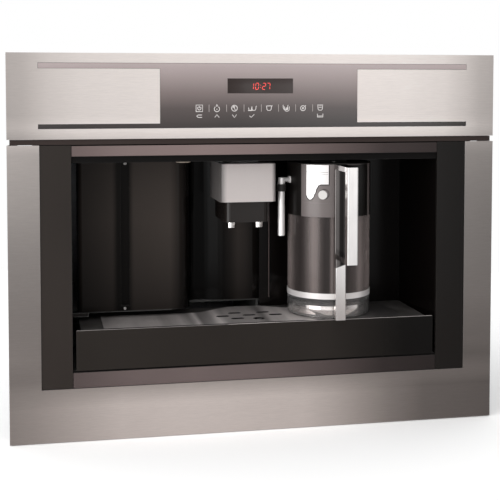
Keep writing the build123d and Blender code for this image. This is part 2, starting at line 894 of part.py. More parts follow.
# ---------------------------------------------------------------- coffee spout
cap_top = ceiling_z - spout_high_gap
cap_low = cap_top - spout_cap_height
cap_front = depth_of(spout_front_depth)
cap_back = depth_of(column_depth) - slide_gap
body_front = cap_front + spout_body_setback
nozzle_y = cap_front + nozzle_setback
body_low = cap_low - spout_body_drop

with BuildPart() as spout_cap:
    slab((spout_x - spout_width / 2, spout_x + spout_width / 2), (cap_front, cap_back), (cap_low, cap_top))
    front_edges = spout_cap.edges().filter_by(Axis.Z).group_by(Axis.Y)[0]
    fillet(front_edges, spout_corner)
    fillet(spout_cap.faces().sort_by(Axis.Z)[-1].edges().group_by(Axis.Y)[0], spout_edge)
    slab((spout_x - spout_body_width / 2 - spout_body_gap, spout_x + spout_body_width / 2 + spout_body_gap),
         (body_front - spout_body_gap, cap_back), (cap_low, cap_top - spout_cap_wall), mode=Mode.SUBTRACT)
keep(spout_cap, "spout_cap")

tongue_high = slot_high - 1
tongue_low = tongue_high - tongue_height
keeper_front = depth_of(column_depth) + door_wall + slide_gap
with BuildPart() as spout_body:
    slab((spout_x - spout_body_width / 2, spout_x + spout_body_width / 2), (body_front, cap_back),
         (body_low, cap_top - spout_cap_wall - spout_body_gap))
    fillet(spout_body.edges().filter_by(Axis.Z).group_by(Axis.Y)[0], spout_body_corner)
    slab((spout_x - spout_body_width / 2 + spout_body_wall, spout_x + spout_body_width / 2 - spout_body_wall),
         (body_front + spout_body_wall, cap_back - spout_body_wall),
         (body_low + nozzle_block, cap_top - spout_cap_wall - spout_body_gap), mode=Mode.SUBTRACT)
    for side in (-1, 1):
        rod(spout_x + side * nozzle_pitch / 2, nozzle_y, (body_low, body_low + nozzle_block), nozzle_bore,
            mode=Mode.SUBTRACT)
    slab((spout_x - tongue_width / 2, spout_x + tongue_width / 2), (cap_back, keeper_front),
         (tongue_low, tongue_high))
    slab((spout_x - keeper_width / 2, spout_x + keeper_width / 2),
         (keeper_front, keeper_front + keeper_thick), (tongue_low, tongue_high))
keep(spout_body, "spout_body")

with BuildPart() as spout_nozzles:
    for side in (-1, 1):
        nozzle_x = spout_x + side * nozzle_pitch / 2
        rod(nozzle_x, nozzle_y, (body_low - nozzle_drop, body_low), nozzle_radius)
        rod(nozzle_x, nozzle_y, (body_low - nozzle_drop, body_low), nozzle_bore, mode=Mode.SUBTRACT)
keep(spout_nozzles, "spout_nozzles")

# ---------------------------------------------------------------- milk container
jug_y = back_wall_y - jug_back_gap - jug_radius
jug_low = tray_top + jug_lift
base_top = jug_low + jug_base_height
band_top = base_top + band_height
lid_top = ceiling_z - lid_high_gap
lid_low = lid_top - lid_height
lid_radius = jug_radius + 0.5
plug_radius = jug_radius - jug_wall - push_gap
dial_floor = lid_top - lid_dial_height
hub_top = lid_top - milk_hub_drop
hub_low = hub_top - milk_hub_height
milk_pivot = (jug_x - jug_radius + milk_pivot_inset, jug_y - milk_pivot_offset)
milk_tube = (milk_pivot[0] - milk_arm_x, milk_pivot[1] - milk_arm_y)
button_z = lid_top - button_drop
button_way = (math.cos(math.radians(button_angle)), math.sin(math.radians(button_angle)))
nozzle_z = lid_top - nozzle_pin_drop
plate_outer = lid_radius + lid_plate_thick


def radial_rod(inner, outer, radius, mode=Mode.ADD):
    """A round bar along the button's axis, between two distances from the jug's centre."""
    middle = (inner + outer) / 2
    start = Vector(jug_x + middle * button_way[0], jug_y + middle * button_way[1], button_z)
    with Locations(Plane(origin=start, z_dir=(*button_way, 0))):
        Cylinder(radius, outer - inner, mode=mode)


with BuildPart() as jug_base:
    rod(jug_x, jug_y, (jug_low, base_top), jug_radius)
    fillet(jug_base.faces().sort_by(Axis.Z)[0].edges(), jug_base_edge)
    rod(jug_x, jug_y, (jug_low, base_top - jug_base_wall), jug_radius - jug_base_wall, mode=Mode.SUBTRACT)
keep(jug_base, "jug_base")

with BuildPart() as jug_band:
    rod(jug_x, jug_y, (base_top, band_top), jug_radius + band_rise)
    rod(jug_x, jug_y, (base_top, band_top), jug_radius - jug_base_wall, mode=Mode.SUBTRACT)
keep(jug_band, "jug_band")

with BuildPart() as milk_jug:
    rod(jug_x, jug_y, (band_top, lid_low), jug_radius)
    rod(jug_x, jug_y, (band_top + jug_floor, lid_low), jug_radius - jug_wall, mode=Mode.SUBTRACT)
keep(milk_jug, "milk_jug")

with BuildPart() as jug_lid:
    rod(jug_x, jug_y, (lid_low, lid_top), lid_radius)
    fillet(jug_lid.faces().sort_by(Axis.Z)[-1].edges(), lid_edge)
    rod(jug_x, jug_y, (lid_low - lid_plug_depth, lid_low), plug_radius)
    rod(jug_x, jug_y, (lid_low - lid_plug_depth, dial_floor - lid_wall), lid_cavity, mode=Mode.SUBTRACT)
    rod(jug_x, jug_y, (dial_floor, lid_top), lid_dial_radius + push_gap, mode=Mode.SUBTRACT)
    rod(*milk_pivot, (hub_low - slide_gap, hub_top + slide_gap), milk_notch_radius, mode=Mode.SUBTRACT)
    rod(*milk_pivot, (hub_low - slide_gap - milk_notch_rise, hub_top + slide_gap + milk_notch_rise),
        milk_pivot_radius)
    radial_rod(lid_cavity - through, lid_radius + through, button_radius + push_gap, mode=Mode.SUBTRACT)
    rod_y(jug_x, nozzle_z, (jug_y + lid_radius - nozzle_pin_reach - through, jug_y + lid_radius + through),
          nozzle_pin_radius + slide_gap, mode=Mode.SUBTRACT)
keep(jug_lid, "jug_lid")

with BuildPart() as lid_front_plate:
    with BuildSketch(Plane.XY.offset(lid_low)) as lid_plate_plan:
        with Locations((jug_x, jug_y)):
            Circle(plate_outer)
            Circle(lid_radius, mode=Mode.SUBTRACT)
            with BuildLine():
                reach = 3 * jug_radius  # well past the lid
                start = math.radians(270 - lid_plate_span / 2)
                end = math.radians(270 + lid_plate_span / 2)
                Polyline(
                    (jug_x, jug_y),
                    (jug_x + reach * math.cos(start), jug_y + reach * math.sin(start)),
                    (jug_x, jug_y - reach),
                    (jug_x + reach * math.cos(end), jug_y + reach * math.sin(end)),
                    close=True,
                )
            make_face(mode=Mode.INTERSECT)
    extrude(amount=lid_height - lid_edge)
    with BuildSketch(Plane.XY.offset(lid_low + lid_plate_low_height)):
        with Locations((jug_x, jug_y)):
            Circle(plate_outer + through)
            Circle(plate_outer - lid_plate_line_deep, mode=Mode.SUBTRACT)
    extrude(amount=lid_plate_line, mode=Mode.SUBTRACT)
    radial_rod(lid_cavity, plate_outer + through, button_radius + push_gap, mode=Mode.SUBTRACT)
keep(lid_front_plate, "lid_front_plate")

handle_back = jug_y - plate_outer - handle_gap
grip_front = handle_back - handle_grip_reach
low_front = handle_back - handle_low_reach
step_low = jug_low + handle_step
handle_top = lid_top - handle_drop
with BuildPart() as jug_handle:
    handle_xs = (handle_x - handle_width / 2, handle_x + handle_width / 2)
    slab(handle_xs, (grip_front, handle_back), (step_low, handle_top))
    slab(handle_xs, (grip_front + handle_grip_thick, handle_back - handle_strap),
         (step_low + handle_bar, handle_top - handle_bar), mode=Mode.SUBTRACT)
    slab(handle_xs, (low_front, handle_back), (jug_low + handle_lift, step_low))
    fillet(jug_handle.edges().filter_by(Axis.Z), handle_edge)
keep(jug_handle, "jug_handle")

with BuildPart() as intake_tube:
    intake_y = jug_y + intake_offset
    intake_zs = (band_top + jug_floor + intake_floor_gap, lid_low - lid_plug_depth)
    rod(jug_x, intake_y, intake_zs, intake_radius)
    rod(jug_x, intake_y, intake_zs, intake_radius - intake_wall, mode=Mode.SUBTRACT)
keep(intake_tube, "intake_tube")

with BuildPart() as froth_dial:
    rod(jug_x, jug_y, (dial_floor + push_gap, lid_top - dial_rise), lid_dial_radius)
    slab((jug_x - dial_grip_half, jug_x + dial_grip_half), (jug_y - dial_grip_thick, jug_y + dial_grip_thick),
         (lid_top - dial_rise, lid_top + lid_edge))
    fillet(froth_dial.edges().filter_by(Axis.Z), dial_grip_thick / 2)
keep(froth_dial, "froth_dial")

with BuildPart() as clean_button:
    radial_rod(lid_cavity + button_travel + button_inner_gap, plate_outer + button_rise, button_radius)
keep(clean_button, "clean_button")

arm_z = (hub_low + hub_top) / 2
milk_tube_low = hub_top - milk_tube_drop
with BuildPart() as milk_spout:
    rod(*milk_tube, (milk_tube_low, hub_top - milk_tube_edge), milk_tube_radius)
    fillet(milk_spout.faces().sort_by(Axis.Z)[-1].edges(), milk_tube_edge)
    rod(*milk_pivot, (hub_low, hub_top), milk_hub_radius)
    arm_line = Vector(milk_pivot[0] - milk_tube[0], milk_pivot[1] - milk_tube[1], 0)
    arm_middle = Vector(*milk_tube, arm_z) + arm_line * 0.5
    with Locations(Plane(origin=arm_middle, z_dir=arm_line)):
        Cylinder(milk_arm_radius, arm_line.length)
    rod(*milk_pivot, (hub_low, hub_top), milk_pivot_radius + turn_gap, mode=Mode.SUBTRACT)
    rod(*milk_tube, (milk_tube_low, hub_low), milk_tube_bore, mode=Mode.SUBTRACT)
keep(milk_spout, "milk_spout")

collar_top = hub_low - milk_collar_drop
with BuildPart() as milk_spout_collar:
    rod(*milk_tube, (collar_top - milk_collar_height, collar_top), milk_collar_radius)
    rod(*milk_tube, (collar_top - milk_collar_height, collar_top), milk_tube_radius, mode=Mode.SUBTRACT)
keep(milk_spout_collar, "milk_spout_collar")

with BuildPart() as milk_nozzle:
    rod_y(jug_x, nozzle_z, (jug_y + lid_radius - nozzle_pin_reach, back_wall_y), nozzle_pin_radius)
    rod_y(jug_x, nozzle_z, (back_wall_y - nozzle_flange, back_wall_y), 2 * nozzle_pin_radius)
    rod_y(jug_x, nozzle_z, (jug_y + lid_radius - nozzle_pin_reach, back_wall_y), nozzle_pin_bore,
          mode=Mode.SUBTRACT)
keep(milk_nozzle, "milk_nozzle")

# ---------------------------------------------------------------- inner fittings
inner_shelf_top = door_low - shelf_door_gap
inner_shelf_low = inner_shelf_top - shelf_thick
tank_left = -niche_x + tank_side_gap
tank_right = tank_left + tank_width
tank_front = depth_of(door_face_depth) + tank_front_gap
tank_back = body_back - tank_back_gap
tank_low = inner_shelf_top
tank_high = door_high - tank_high_gap
bay_front = bay_back + shelf_gap
shelf_back = body_back - hose_bay
shelf_right = door_edge_x + through

with BuildPart() as inner_shelf:
    slab((-niche_x, tank_right + shelf_margin), (tank_front, bay_front), (inner_shelf_low, inner_shelf_top))
    slab((-niche_x, shelf_right), (bay_front, shelf_back), (inner_shelf_low, inner_shelf_top))
    for leg_x in (-niche_x, shelf_right - shelf_thick):
        slab((leg_x, leg_x + shelf_thick), (bay_front + shelf_gap, shelf_back),
             (body_floor + plate_sheet, inner_shelf_low))
keep(inner_shelf, "inner_shelf")

with BuildPart() as water_tank:
    slab((tank_left, tank_right), (tank_front, tank_back), (tank_low, tank_high))
    fillet(water_tank.edges().filter_by(Axis.Z), tank_corner)
    offset(amount=-tank_wall, openings=water_tank.faces().sort_by(Axis.Z)[-1])
keep(water_tank, "water_tank")

grounds_left = tank_right + grounds_gap
grounds_front = bay_front + 2 * shelf_gap
with BuildPart() as grounds_container:
    slab((grounds_left, grounds_left + grounds_width), (grounds_front, grounds_front + grounds_depth),
         (inner_shelf_top, inner_shelf_top + grounds_height))
    fillet(grounds_container.edges().filter_by(Axis.Z), grounds_corner)
    offset(amount=-grounds_wall, openings=grounds_container.faces().sort_by(Axis.Z)[-1])
keep(grounds_container, "grounds_container")

brew_left = grounds_left + brew_inset
brew_front = grounds_front + grounds_depth + brew_gap
brew_back = brew_front + brew_depth
brew_y = (brew_front + brew_back) / 2 - brew_axis_shift
chamber_x = brew_left + chamber_radius + chamber_wall + brew_axis_shift
spindle_x = chamber_x + spindle_offset
brew_base_top = inner_shelf_top + brew_plate
chamber_top = brew_base_top + chamber_height
piston_low = brew_base_top + piston_lift
brew_head_low = chamber_top + brew_headroom

with BuildPart() as brew_frame:
    brew_xs = (brew_left, brew_left + brew_width)
    slab(brew_xs, (brew_front, brew_back), (inner_shelf_top, brew_base_top))
    slab(brew_xs, (brew_front, brew_back), (brew_head_low, brew_head_low + brew_plate))
    slab(brew_xs, (brew_back - brew_plate, brew_back), (inner_shelf_top, brew_head_low))
    rod(chamber_x, brew_y, (brew_base_top, chamber_top), chamber_radius + chamber_wall)
    rod(chamber_x, brew_y, (brew_base_top, chamber_top), chamber_radius, mode=Mode.SUBTRACT)
    rod(spindle_x, brew_y, (inner_shelf_top, brew_head_low + brew_plate), journal_radius + turn_gap,
        mode=Mode.SUBTRACT)
    rod(chamber_x, brew_y, (brew_head_low, brew_head_low + brew_plate), piston_rod_radius + slide_gap,
        mode=Mode.SUBTRACT)
keep(brew_frame, "brew_frame")

nut_low = chamber_top + nut_lift
nut_high = nut_low + nut_height
with BuildPart() as brew_piston:
    rod(chamber_x, brew_y, (piston_low, piston_low + piston_height), chamber_radius - slide_gap)
    rod(chamber_x, brew_y, (piston_low + piston_height, brew_head_low + brew_plate + brew_inset),
        piston_rod_radius)
    slab((chamber_x, spindle_x + spindle_radius + brew_inset), (brew_y - nut_half, brew_y + nut_half),
         (nut_low, nut_high))
    rod(spindle_x, brew_y, (nut_low, nut_high), spindle_radius + turn_gap, mode=Mode.SUBTRACT)
keep(brew_piston, "brew_piston")

gear_low = brew_head_low + brew_plate + slide_gap
with BuildPart() as brew_spindle:
    rod(spindle_x, brew_y, (brew_base_top + slide_gap, brew_head_low - slide_gap), spindle_radius)
    rod(spindle_x, brew_y, (inner_shelf_top, gear_low + gear_thick), journal_radius)
    rod(spindle_x, brew_y, (gear_low, gear_low + gear_thick), gear_radius)
keep(brew_spindle, "brew_spindle")

hopper_left = hopper_x - hopper_width / 2
hopper_right = hopper_x + hopper_width / 2
hopper_back = body_back - hopper_back_gap
hopper_front = hopper_back - hopper_depth
hopper_y = (hopper_front + hopper_back) / 2
hopper_low = body_top - hopper_height
rim_high = body_top + rim_thick
lid_low_z = rim_high + lid_gap
lid_high_z = lid_low_z + lid_thick
hinge_z = lid_high_z - slide_gap
hinge_line_y = hopper_back + bean_hinge_gap
knob_x = hopper_left - knob_offset
knob_y = hopper_y

with BuildPart() as top_panel:
    slab((-half_body, half_body), (carrier_back, body_back), (body_top - body_sheet, body_top))
    slab((hopper_left - hopper_seat, hopper_right + hopper_seat),
         (hopper_front - hopper_seat, hopper_back + hopper_seat), (body_top - body_sheet, body_top),
         mode=Mode.SUBTRACT)
    rod(knob_x, knob_y, (body_top - body_sheet, body_top), knob_radius + push_gap, mode=Mode.SUBTRACT)
    for side in (-1, 1):
        ear_reach = (hopper_width / 2, hopper_width / 2 - bean_ear_width)
        ear_xs = sorted(hopper_x + side * reach for reach in ear_reach)
        slab(ear_xs, (hinge_line_y - bean_ear_half, hinge_line_y + bean_ear_half),
             (body_top, hinge_z + bean_ear_rise))
    rod_x(hinge_line_y, hinge_z, (hopper_left + bean_pin_inset, hopper_right - bean_pin_inset),
          bean_pin_radius)
keep(top_panel, "top_panel")

with BuildPart() as bean_hopper:
    slab((hopper_left, hopper_right), (hopper_front, hopper_back), (hopper_low, body_top))
    fillet(bean_hopper.edges().filter_by(Axis.Z), hopper_corner)
    offset(amount=-hopper_wall, openings=bean_hopper.faces().sort_by(Axis.Z)[-1])
    with BuildSketch(Plane.XY.offset(body_top)):
        with Locations((hopper_x, hopper_y)):
            Rectangle(hopper_width + 2 * hopper_flange, hopper_depth + 2 * hopper_flange)
            Rectangle(hopper_width - 2 * hopper_wall - 2 * hopper_flange_inner,
                      hopper_depth - 2 * hopper_wall - 2 * hopper_flange_inner, mode=Mode.SUBTRACT)
    extrude(amount=rim_high - body_top)
    rod(hopper_x, hopper_y, (hopper_low, hopper_low + hopper_wall), hopper_throat, mode=Mode.SUBTRACT)
keep(bean_hopper, "bean_hopper")

with BuildPart() as hopper_lid:
    slab((hopper_left - lid_overhang, hopper_right + lid_overhang),
         (hopper_front - lid_overhang, hopper_back + lid_overhang), (lid_low_z, lid_high_z))
    fillet(hopper_lid.edges().filter_by(Axis.Z), lid_overhang)
    tab_xs = (hopper_left + lid_tab_inset, hopper_right - lid_tab_inset)
    slab(tab_xs, (hopper_back + lid_overhang, hinge_line_y), (lid_low_z, lid_high_z))
    rod_x(hinge_line_y, hinge_z, tab_xs, bean_tube_radius)
    rod_x(hinge_line_y, hinge_z, tab_xs, bean_pin_radius + turn_gap, mode=Mode.SUBTRACT)
    rod(hopper_x, hopper_front + lid_recess_inset, (lid_low_z + lid_skin, lid_high_z), lid_recess_radius,
        mode=Mode.SUBTRACT)
keep(hopper_lid, "hopper_lid")

with BuildPart() as grinder_body:
    rod(hopper_x, hopper_y, (hopper_low - grinder_height, hopper_low), grinder_radius)
    rod(hopper_x, hopper_y, (hopper_low - grinder_height + grinder_floor, hopper_low),
        burr_radius + burr_room, mode=Mode.SUBTRACT)
    rod(hopper_x, hopper_y, (hopper_low - grinder_height, hopper_low), burr_shaft_radius + turn_gap,
        mode=Mode.SUBTRACT)
keep(grinder_body, "grinder_body")

burr_low = hopper_low - grinder_height + grinder_floor + burr_lift
motor_top = hopper_low - grinder_height
with BuildPart() as grinder_burr:
    rod(hopper_x, hopper_y, (motor_top - burr_shaft_drop, burr_low + burr_height), burr_shaft_radius)
    with BuildSketch(Plane.XY.offset(burr_low)):
        with Locations((hopper_x, hopper_y)):
            Circle(burr_radius)
            with PolarLocations(burr_radius, burr_teeth):
                Circle(burr_tooth_radius, mode=Mode.SUBTRACT)
    extrude(amount=burr_height)
keep(grinder_burr, "grinder_burr")

with BuildPart() as grinder_motor:
    rod(hopper_x, hopper_y, (motor_top - motor_height, motor_top), motor_radius)
    rod(hopper_x, hopper_y, (motor_top - motor_socket, motor_top), burr_shaft_radius + turn_gap,
        mode=Mode.SUBTRACT)
keep(grinder_motor, "grinder_motor")

with BuildPart() as grind_knob:
    knob_low = body_top - body_sheet - knob_skirt
    rod(knob_x, knob_y, (knob_low, body_top + knob_rise), knob_radius)
    rod(knob_x, knob_y, (knob_low, body_top - body_sheet - slide_gap), knob_radius + knob_flange)
    slab((knob_x - knob_grip_half, knob_x + knob_grip_half),
         (knob_y - knob_radius + knob_flange, knob_y + knob_radius - knob_flange),
         (body_top + knob_rise, body_top + knob_rise + knob_grip_rise))
keep(grind_knob, "grind_knob")

floor_z = body_floor + plate_sheet
pump_y = body_back - pump_back_gap
pump_z = floor_z + pump_radius + pump_lift
pump_left = hopper_x - pump_offset
with BuildPart() as pump:
    rod_x(pump_y, pump_z, (pump_left, pump_left + pump_length), pump_radius)
    rod_x(pump_y, pump_z, (pump_left - pump_neck, pump_left), hose_radius)
    for foot_x in (pump_left + pump_foot_inset, pump_left + pump_length - pump_foot_inset - pump_foot_width):
        slab((foot_x, foot_x + pump_foot_width), (pump_y - pump_radius, pump_y + pump_radius),
             (floor_z, pump_z))
keep(pump, "pump")

boiler_place = (hopper_x + boiler_offset, depth_of(boiler_depth))
steam_place = (hopper_x - steam_offset, depth_of(steam_depth))


def kettle(place, radius, height):
    """An upright boiler with rounded edges on three short feet, in the open part."""
    with BuildPart(mode=Mode.PRIVATE) as shell:
        rod(*place, (floor_z + boiler_lift, floor_z + height), radius)
        fillet(shell.edges(), boiler_edge)
        for foot in PolarLocations(radius - boiler_foot_inset, 3):
            rod(place[0] + foot.position.X, place[1] + foot.position.Y,
                (floor_z, floor_z + boiler_foot_height), boiler_foot_radius)
    add(shell.part)


with BuildPart() as boiler:
    kettle(boiler_place, boiler_radius, boiler_height)
keep(boiler, "boiler")

with BuildPart() as steam_boiler:
    kettle(steam_place, steam_radius, steam_height)
keep(steam_boiler, "steam_boiler")

hose_z = tank_low + hose_rise
hose_x = (tank_left + tank_right) / 2
water_route = [
    (hose_x, tank_back, hose_z),
    (hose_x, pump_y, hose_z),
    (hose_x, pump_y, pump_z),
    (pump_left - pump_neck, pump_y, pump_z),
]
steam_route = [
    (*steam_place, floor_z + steam_height),
    (*steam_place, nozzle_z),
    (jug_x, steam_place[1], nozzle_z),
    (jug_x, back_wall_rear, nozzle_z),
]
with BuildPart() as hoses:
    for route in (water_route, steam_route):
        with BuildLine() as path:
            FilletPolyline(*route, radius=hose_bend)
        start = Plane(origin=route[0], z_dir=Vector(route[1]) - Vector(route[0]))
        with BuildSketch(start) as section:
            Circle(hose_radius)
        sweep(sections=section.sketch, path=path.line)
keep(hoses, "hoses")

# ---------------------------------------------------------------- mains inlet and switch
rear_inner = body_back - body_sheet
bracket_front = rear_inner - bracket_depth
with BuildPart() as power_inlet:
    slab((inlet_x - inlet_width / 2 + inlet_fit, inlet_x + inlet_width / 2 - inlet_fit),
         (body_back - inlet_length, body_back),
         (inlet_z - inlet_height / 2 + inlet_fit, inlet_z + inlet_height / 2 - inlet_fit))
    slab((inlet_x - inlet_width / 2 - inlet_flange_side, inlet_x + inlet_width / 2 + inlet_flange_side),
         (body_back, body_back + inlet_flange_thick),
         (inlet_z - inlet_height / 2 - inlet_flange_high, inlet_z + inlet_height / 2 + inlet_flange_high))
    slab((inlet_x - socket_half_width, inlet_x + socket_half_width),
         (body_back - inlet_length + socket_floor, body_back + inlet_flange_thick),
         (inlet_z - socket_half_height, inlet_z + socket_half_height), mode=Mode.SUBTRACT)
    for pin_x, pin_z in socket_pins:
        slab((inlet_x + pin_x - pin_half_width, inlet_x + pin_x + pin_half_width),
             (body_back - inlet_length + socket_floor, body_back - socket_floor),
             (inlet_z + pin_z - pin_half_height, inlet_z + pin_z + pin_half_height))
    for side in (-1, 1):
        near = rocker_width / 2 + bracket_gap
        cheek = sorted((switch_x + side * near, switch_x + side * (near + bracket_thick)))
        slab(cheek, (bracket_front, rear_inner), (inlet_z - rocker_height / 2, inlet_z + rocker_height / 2))
    slab((inlet_x + inlet_width / 2 - bridge_thick, switch_x - rocker_width / 2 - bracket_gap),
         (bracket_front, bracket_front + bridge_thick), (inlet_z - bridge_half, inlet_z + bridge_half))
    rod_x(rear_inner - rocker_axis_drop, inlet_z,
          (switch_x - rocker_width / 2 - 2 * bracket_gap, switch_x + rocker_width / 2 + 2 * bracket_gap),
          rocker_pin_radius)
keep(power_inlet, "power_inlet")

with BuildPart() as power_switch:
    rocker_xs = (switch_x - rocker_width / 2, switch_x + rocker_width / 2)
    slab(rocker_xs, (rear_inner - rocker_back, body_back + rocker_rise),
         (inlet_z - rocker_height / 2, inlet_z + rocker_height / 2))
    rod_x(rear_inner - rocker_axis_drop, inlet_z, rocker_xs, rocker_pin_radius + turn_gap,
          mode=Mode.SUBTRACT)
keep(power_switch, "power_switch")

with BuildPart() as door_catch:
    slab((jamb_left, jamb_left + catch_width), (back_wall_rear, back_wall_rear + catch_thick),
         (door_high - catch_drop - catch_height, door_high - catch_drop))
keep(door_catch, "door_catch")
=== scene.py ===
"""Looks of a built-in coffee machine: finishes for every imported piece, the printed touch panel,
the milk lid's trim and the small fittings, in a plain pale studio."""

import json
import logging
import math
from dataclasses import dataclass, field
from enum import Enum
from functools import cache
from typing import Callable, Sequence

import bmesh
import bpy
from mathutils import Matrix, Vector


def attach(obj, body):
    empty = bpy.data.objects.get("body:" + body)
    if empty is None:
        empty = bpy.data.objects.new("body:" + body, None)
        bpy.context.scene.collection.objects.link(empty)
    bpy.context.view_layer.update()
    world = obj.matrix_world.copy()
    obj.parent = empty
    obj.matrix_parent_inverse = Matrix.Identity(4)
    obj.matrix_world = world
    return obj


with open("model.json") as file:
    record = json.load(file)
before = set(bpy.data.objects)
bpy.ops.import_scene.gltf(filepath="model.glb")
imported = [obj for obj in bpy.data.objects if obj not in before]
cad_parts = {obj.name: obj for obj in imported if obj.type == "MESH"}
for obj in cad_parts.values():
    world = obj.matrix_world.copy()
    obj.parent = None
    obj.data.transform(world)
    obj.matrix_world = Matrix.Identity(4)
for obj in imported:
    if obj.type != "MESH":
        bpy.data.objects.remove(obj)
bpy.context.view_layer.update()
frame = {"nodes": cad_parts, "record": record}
log = logging.getLogger("coffee_machine")

Point = tuple[float, float, float]
Colour = tuple[float, float, float]
Span = tuple[float, float]
Bands = tuple[tuple[float, float], ...]
Socket = bpy.types.NodeSocket
Piece = bpy.types.Object
FaceTest = Callable[[bmesh.types.BMFace], bool]

EVEN: Bands = ((0.0, 1.0), (1.0, 1.0))
RIGHT: Point = (1, 0, 0)
BACK: Point = (0, 1, 0)
UP: Point = (0, 0, 1)


class Body(Enum):
    """The moving bodies that new pieces ride on."""

    MACHINE = "machine"
    DOOR = "door"
    TRAY = "drip_tray"
    MILK = "milk_container"
    DIAL = "froth_regulator"
    SELECTOR = "grind_selector"
    SWITCH = "mains_switch"


class Axis(Enum):
    """The way a round piece points."""

    Y = (math.pi / 2, 0.0, 0.0)
    Z = (0.0, 0.0, 0.0)


# ---------------------------------------------------------------- shader sheets and effects
class NodeSheet:
    """A shader node tree that is filled node by node."""

    def __init__(self, tree: bpy.types.NodeTree) -> None:
        """Keeps the tree of a material, a world or a group."""
        self.tree = tree

    def connect(self, node: bpy.types.Node, feeds: dict) -> None:
        """Feeds a node's inputs.

        Args:
            node: The node.
            feeds: Input name or number to a constant, or to a socket that is linked to it.
        """
        for name, value in feeds.items():
            if isinstance(value, Socket):
                self.tree.links.new(value, node.inputs[name])
            else:
                node.inputs[name].default_value = value

    def add(self, kind: str, feeds: dict | None = None, **settings: object) -> bpy.types.Node:
        """Adds a node.

        Args:
            kind: The node's type, without "ShaderNode" in front where it starts with that.
            feeds: Input name or number to a constant or a socket.
            settings: Properties of the node itself.

        Returns:
            The new node.
        """
        node = self.tree.nodes.new(kind if kind.startswith("Node") else "ShaderNode" + kind)
        for name, value in settings.items():
            setattr(node, name, value)
        self.connect(node, feeds or {})
        return node

    def combine(self, operation: str, first: float | Socket, second: float | Socket) -> Socket:
        """Works out one value from two.

        Args:
            operation: The Math node's operation.
            first: A number or a socket.
            second: A number or a socket.

        Returns:
            The result's socket.
        """
        return self.add("Math", {0: first, 1: second}, operation=operation).outputs[0]

    def spread(self, value: Socket, low: float | Socket, high: float | Socket) -> Socket:
        """Maps a value from low..high to 0..1.

        Args:
            value: The socket to map.
            low: What becomes 0.
            high: What becomes 1.

        Returns:
            The mapped value's socket.
        """
        return self.add("MapRange", {"Value": value, "From Min": low, "From Max": high}).outputs["Result"]

    def scale(self, value: Socket, low: float, high: float) -> Socket:
        """Maps a value from 0..1 to low..high.

        Args:
            value: The socket to map.
            low: The result at 0.
            high: The result at 1.

        Returns:
            The mapped value's socket.
        """
        return self.add("MapRange", {"Value": value, "To Min": low, "To Max": high}).outputs["Result"]

    def ramp(self, value: Socket, stops: Sequence[tuple[float, Colour | float]]) -> Socket:
        """Adds a colour ramp.

        Args:
            value: The socket that runs along the ramp.
            stops: Place and colour, or place and grey, of each stop.

        Returns:
            The ramp's colour socket.
        """
        node = self.add("ValToRGB", {"Fac": value})
        marks = node.color_ramp.elements
        while len(marks) < len(stops):
            marks.new(0.5)
        for mark, (place, tone) in zip(marks, stops):
            mark.position = place
            shade = (tone, tone, tone) if isinstance(tone, float) else tone
            mark.color = (*shade, 1.0)
        return node.outputs["Color"]

    def mix(
        self, factor: float | Socket, first: Colour | Socket, second: Colour | Socket, blend: str = "MIX"
    ) -> Socket:
        """Mixes two colours.

        Args:
            factor: Share of the second colour.
            first: A colour or its socket.
            second: A colour or its socket.
            blend: The blend type.

        Returns:
            The mixed colour's socket.
        """
        feeds = {0: factor}
        for number, value in ((6, first), (7, second)):
            feeds[number] = value if isinstance(value, Socket) else (*value, 1.0)
        return self.add("Mix", feeds, data_type="RGBA", blend_type=blend).outputs[2]

    def times(self, first: Colour | Socket, second: Colour | Socket) -> Socket:
        """Multiplies two colours and returns the product's socket."""
        return self.mix(1.0, first, second, "MULTIPLY")

    def lay(
        self, base: Colour | Socket, over: Colour | Socket, mask: Socket, share: float, blend: str = "MIX"
    ) -> Socket:
        """Lays one colour over another where a mask is.

        Args:
            base: The colour underneath.
            over: The colour on top.
            mask: The mask from 0 to 1.
            share: How much of the top colour shows where the mask is 1.
            blend: The blend type.

        Returns:
            The resulting colour's socket.
        """
        return self.mix(self.scale(mask, 0.0, share), base, over, blend)


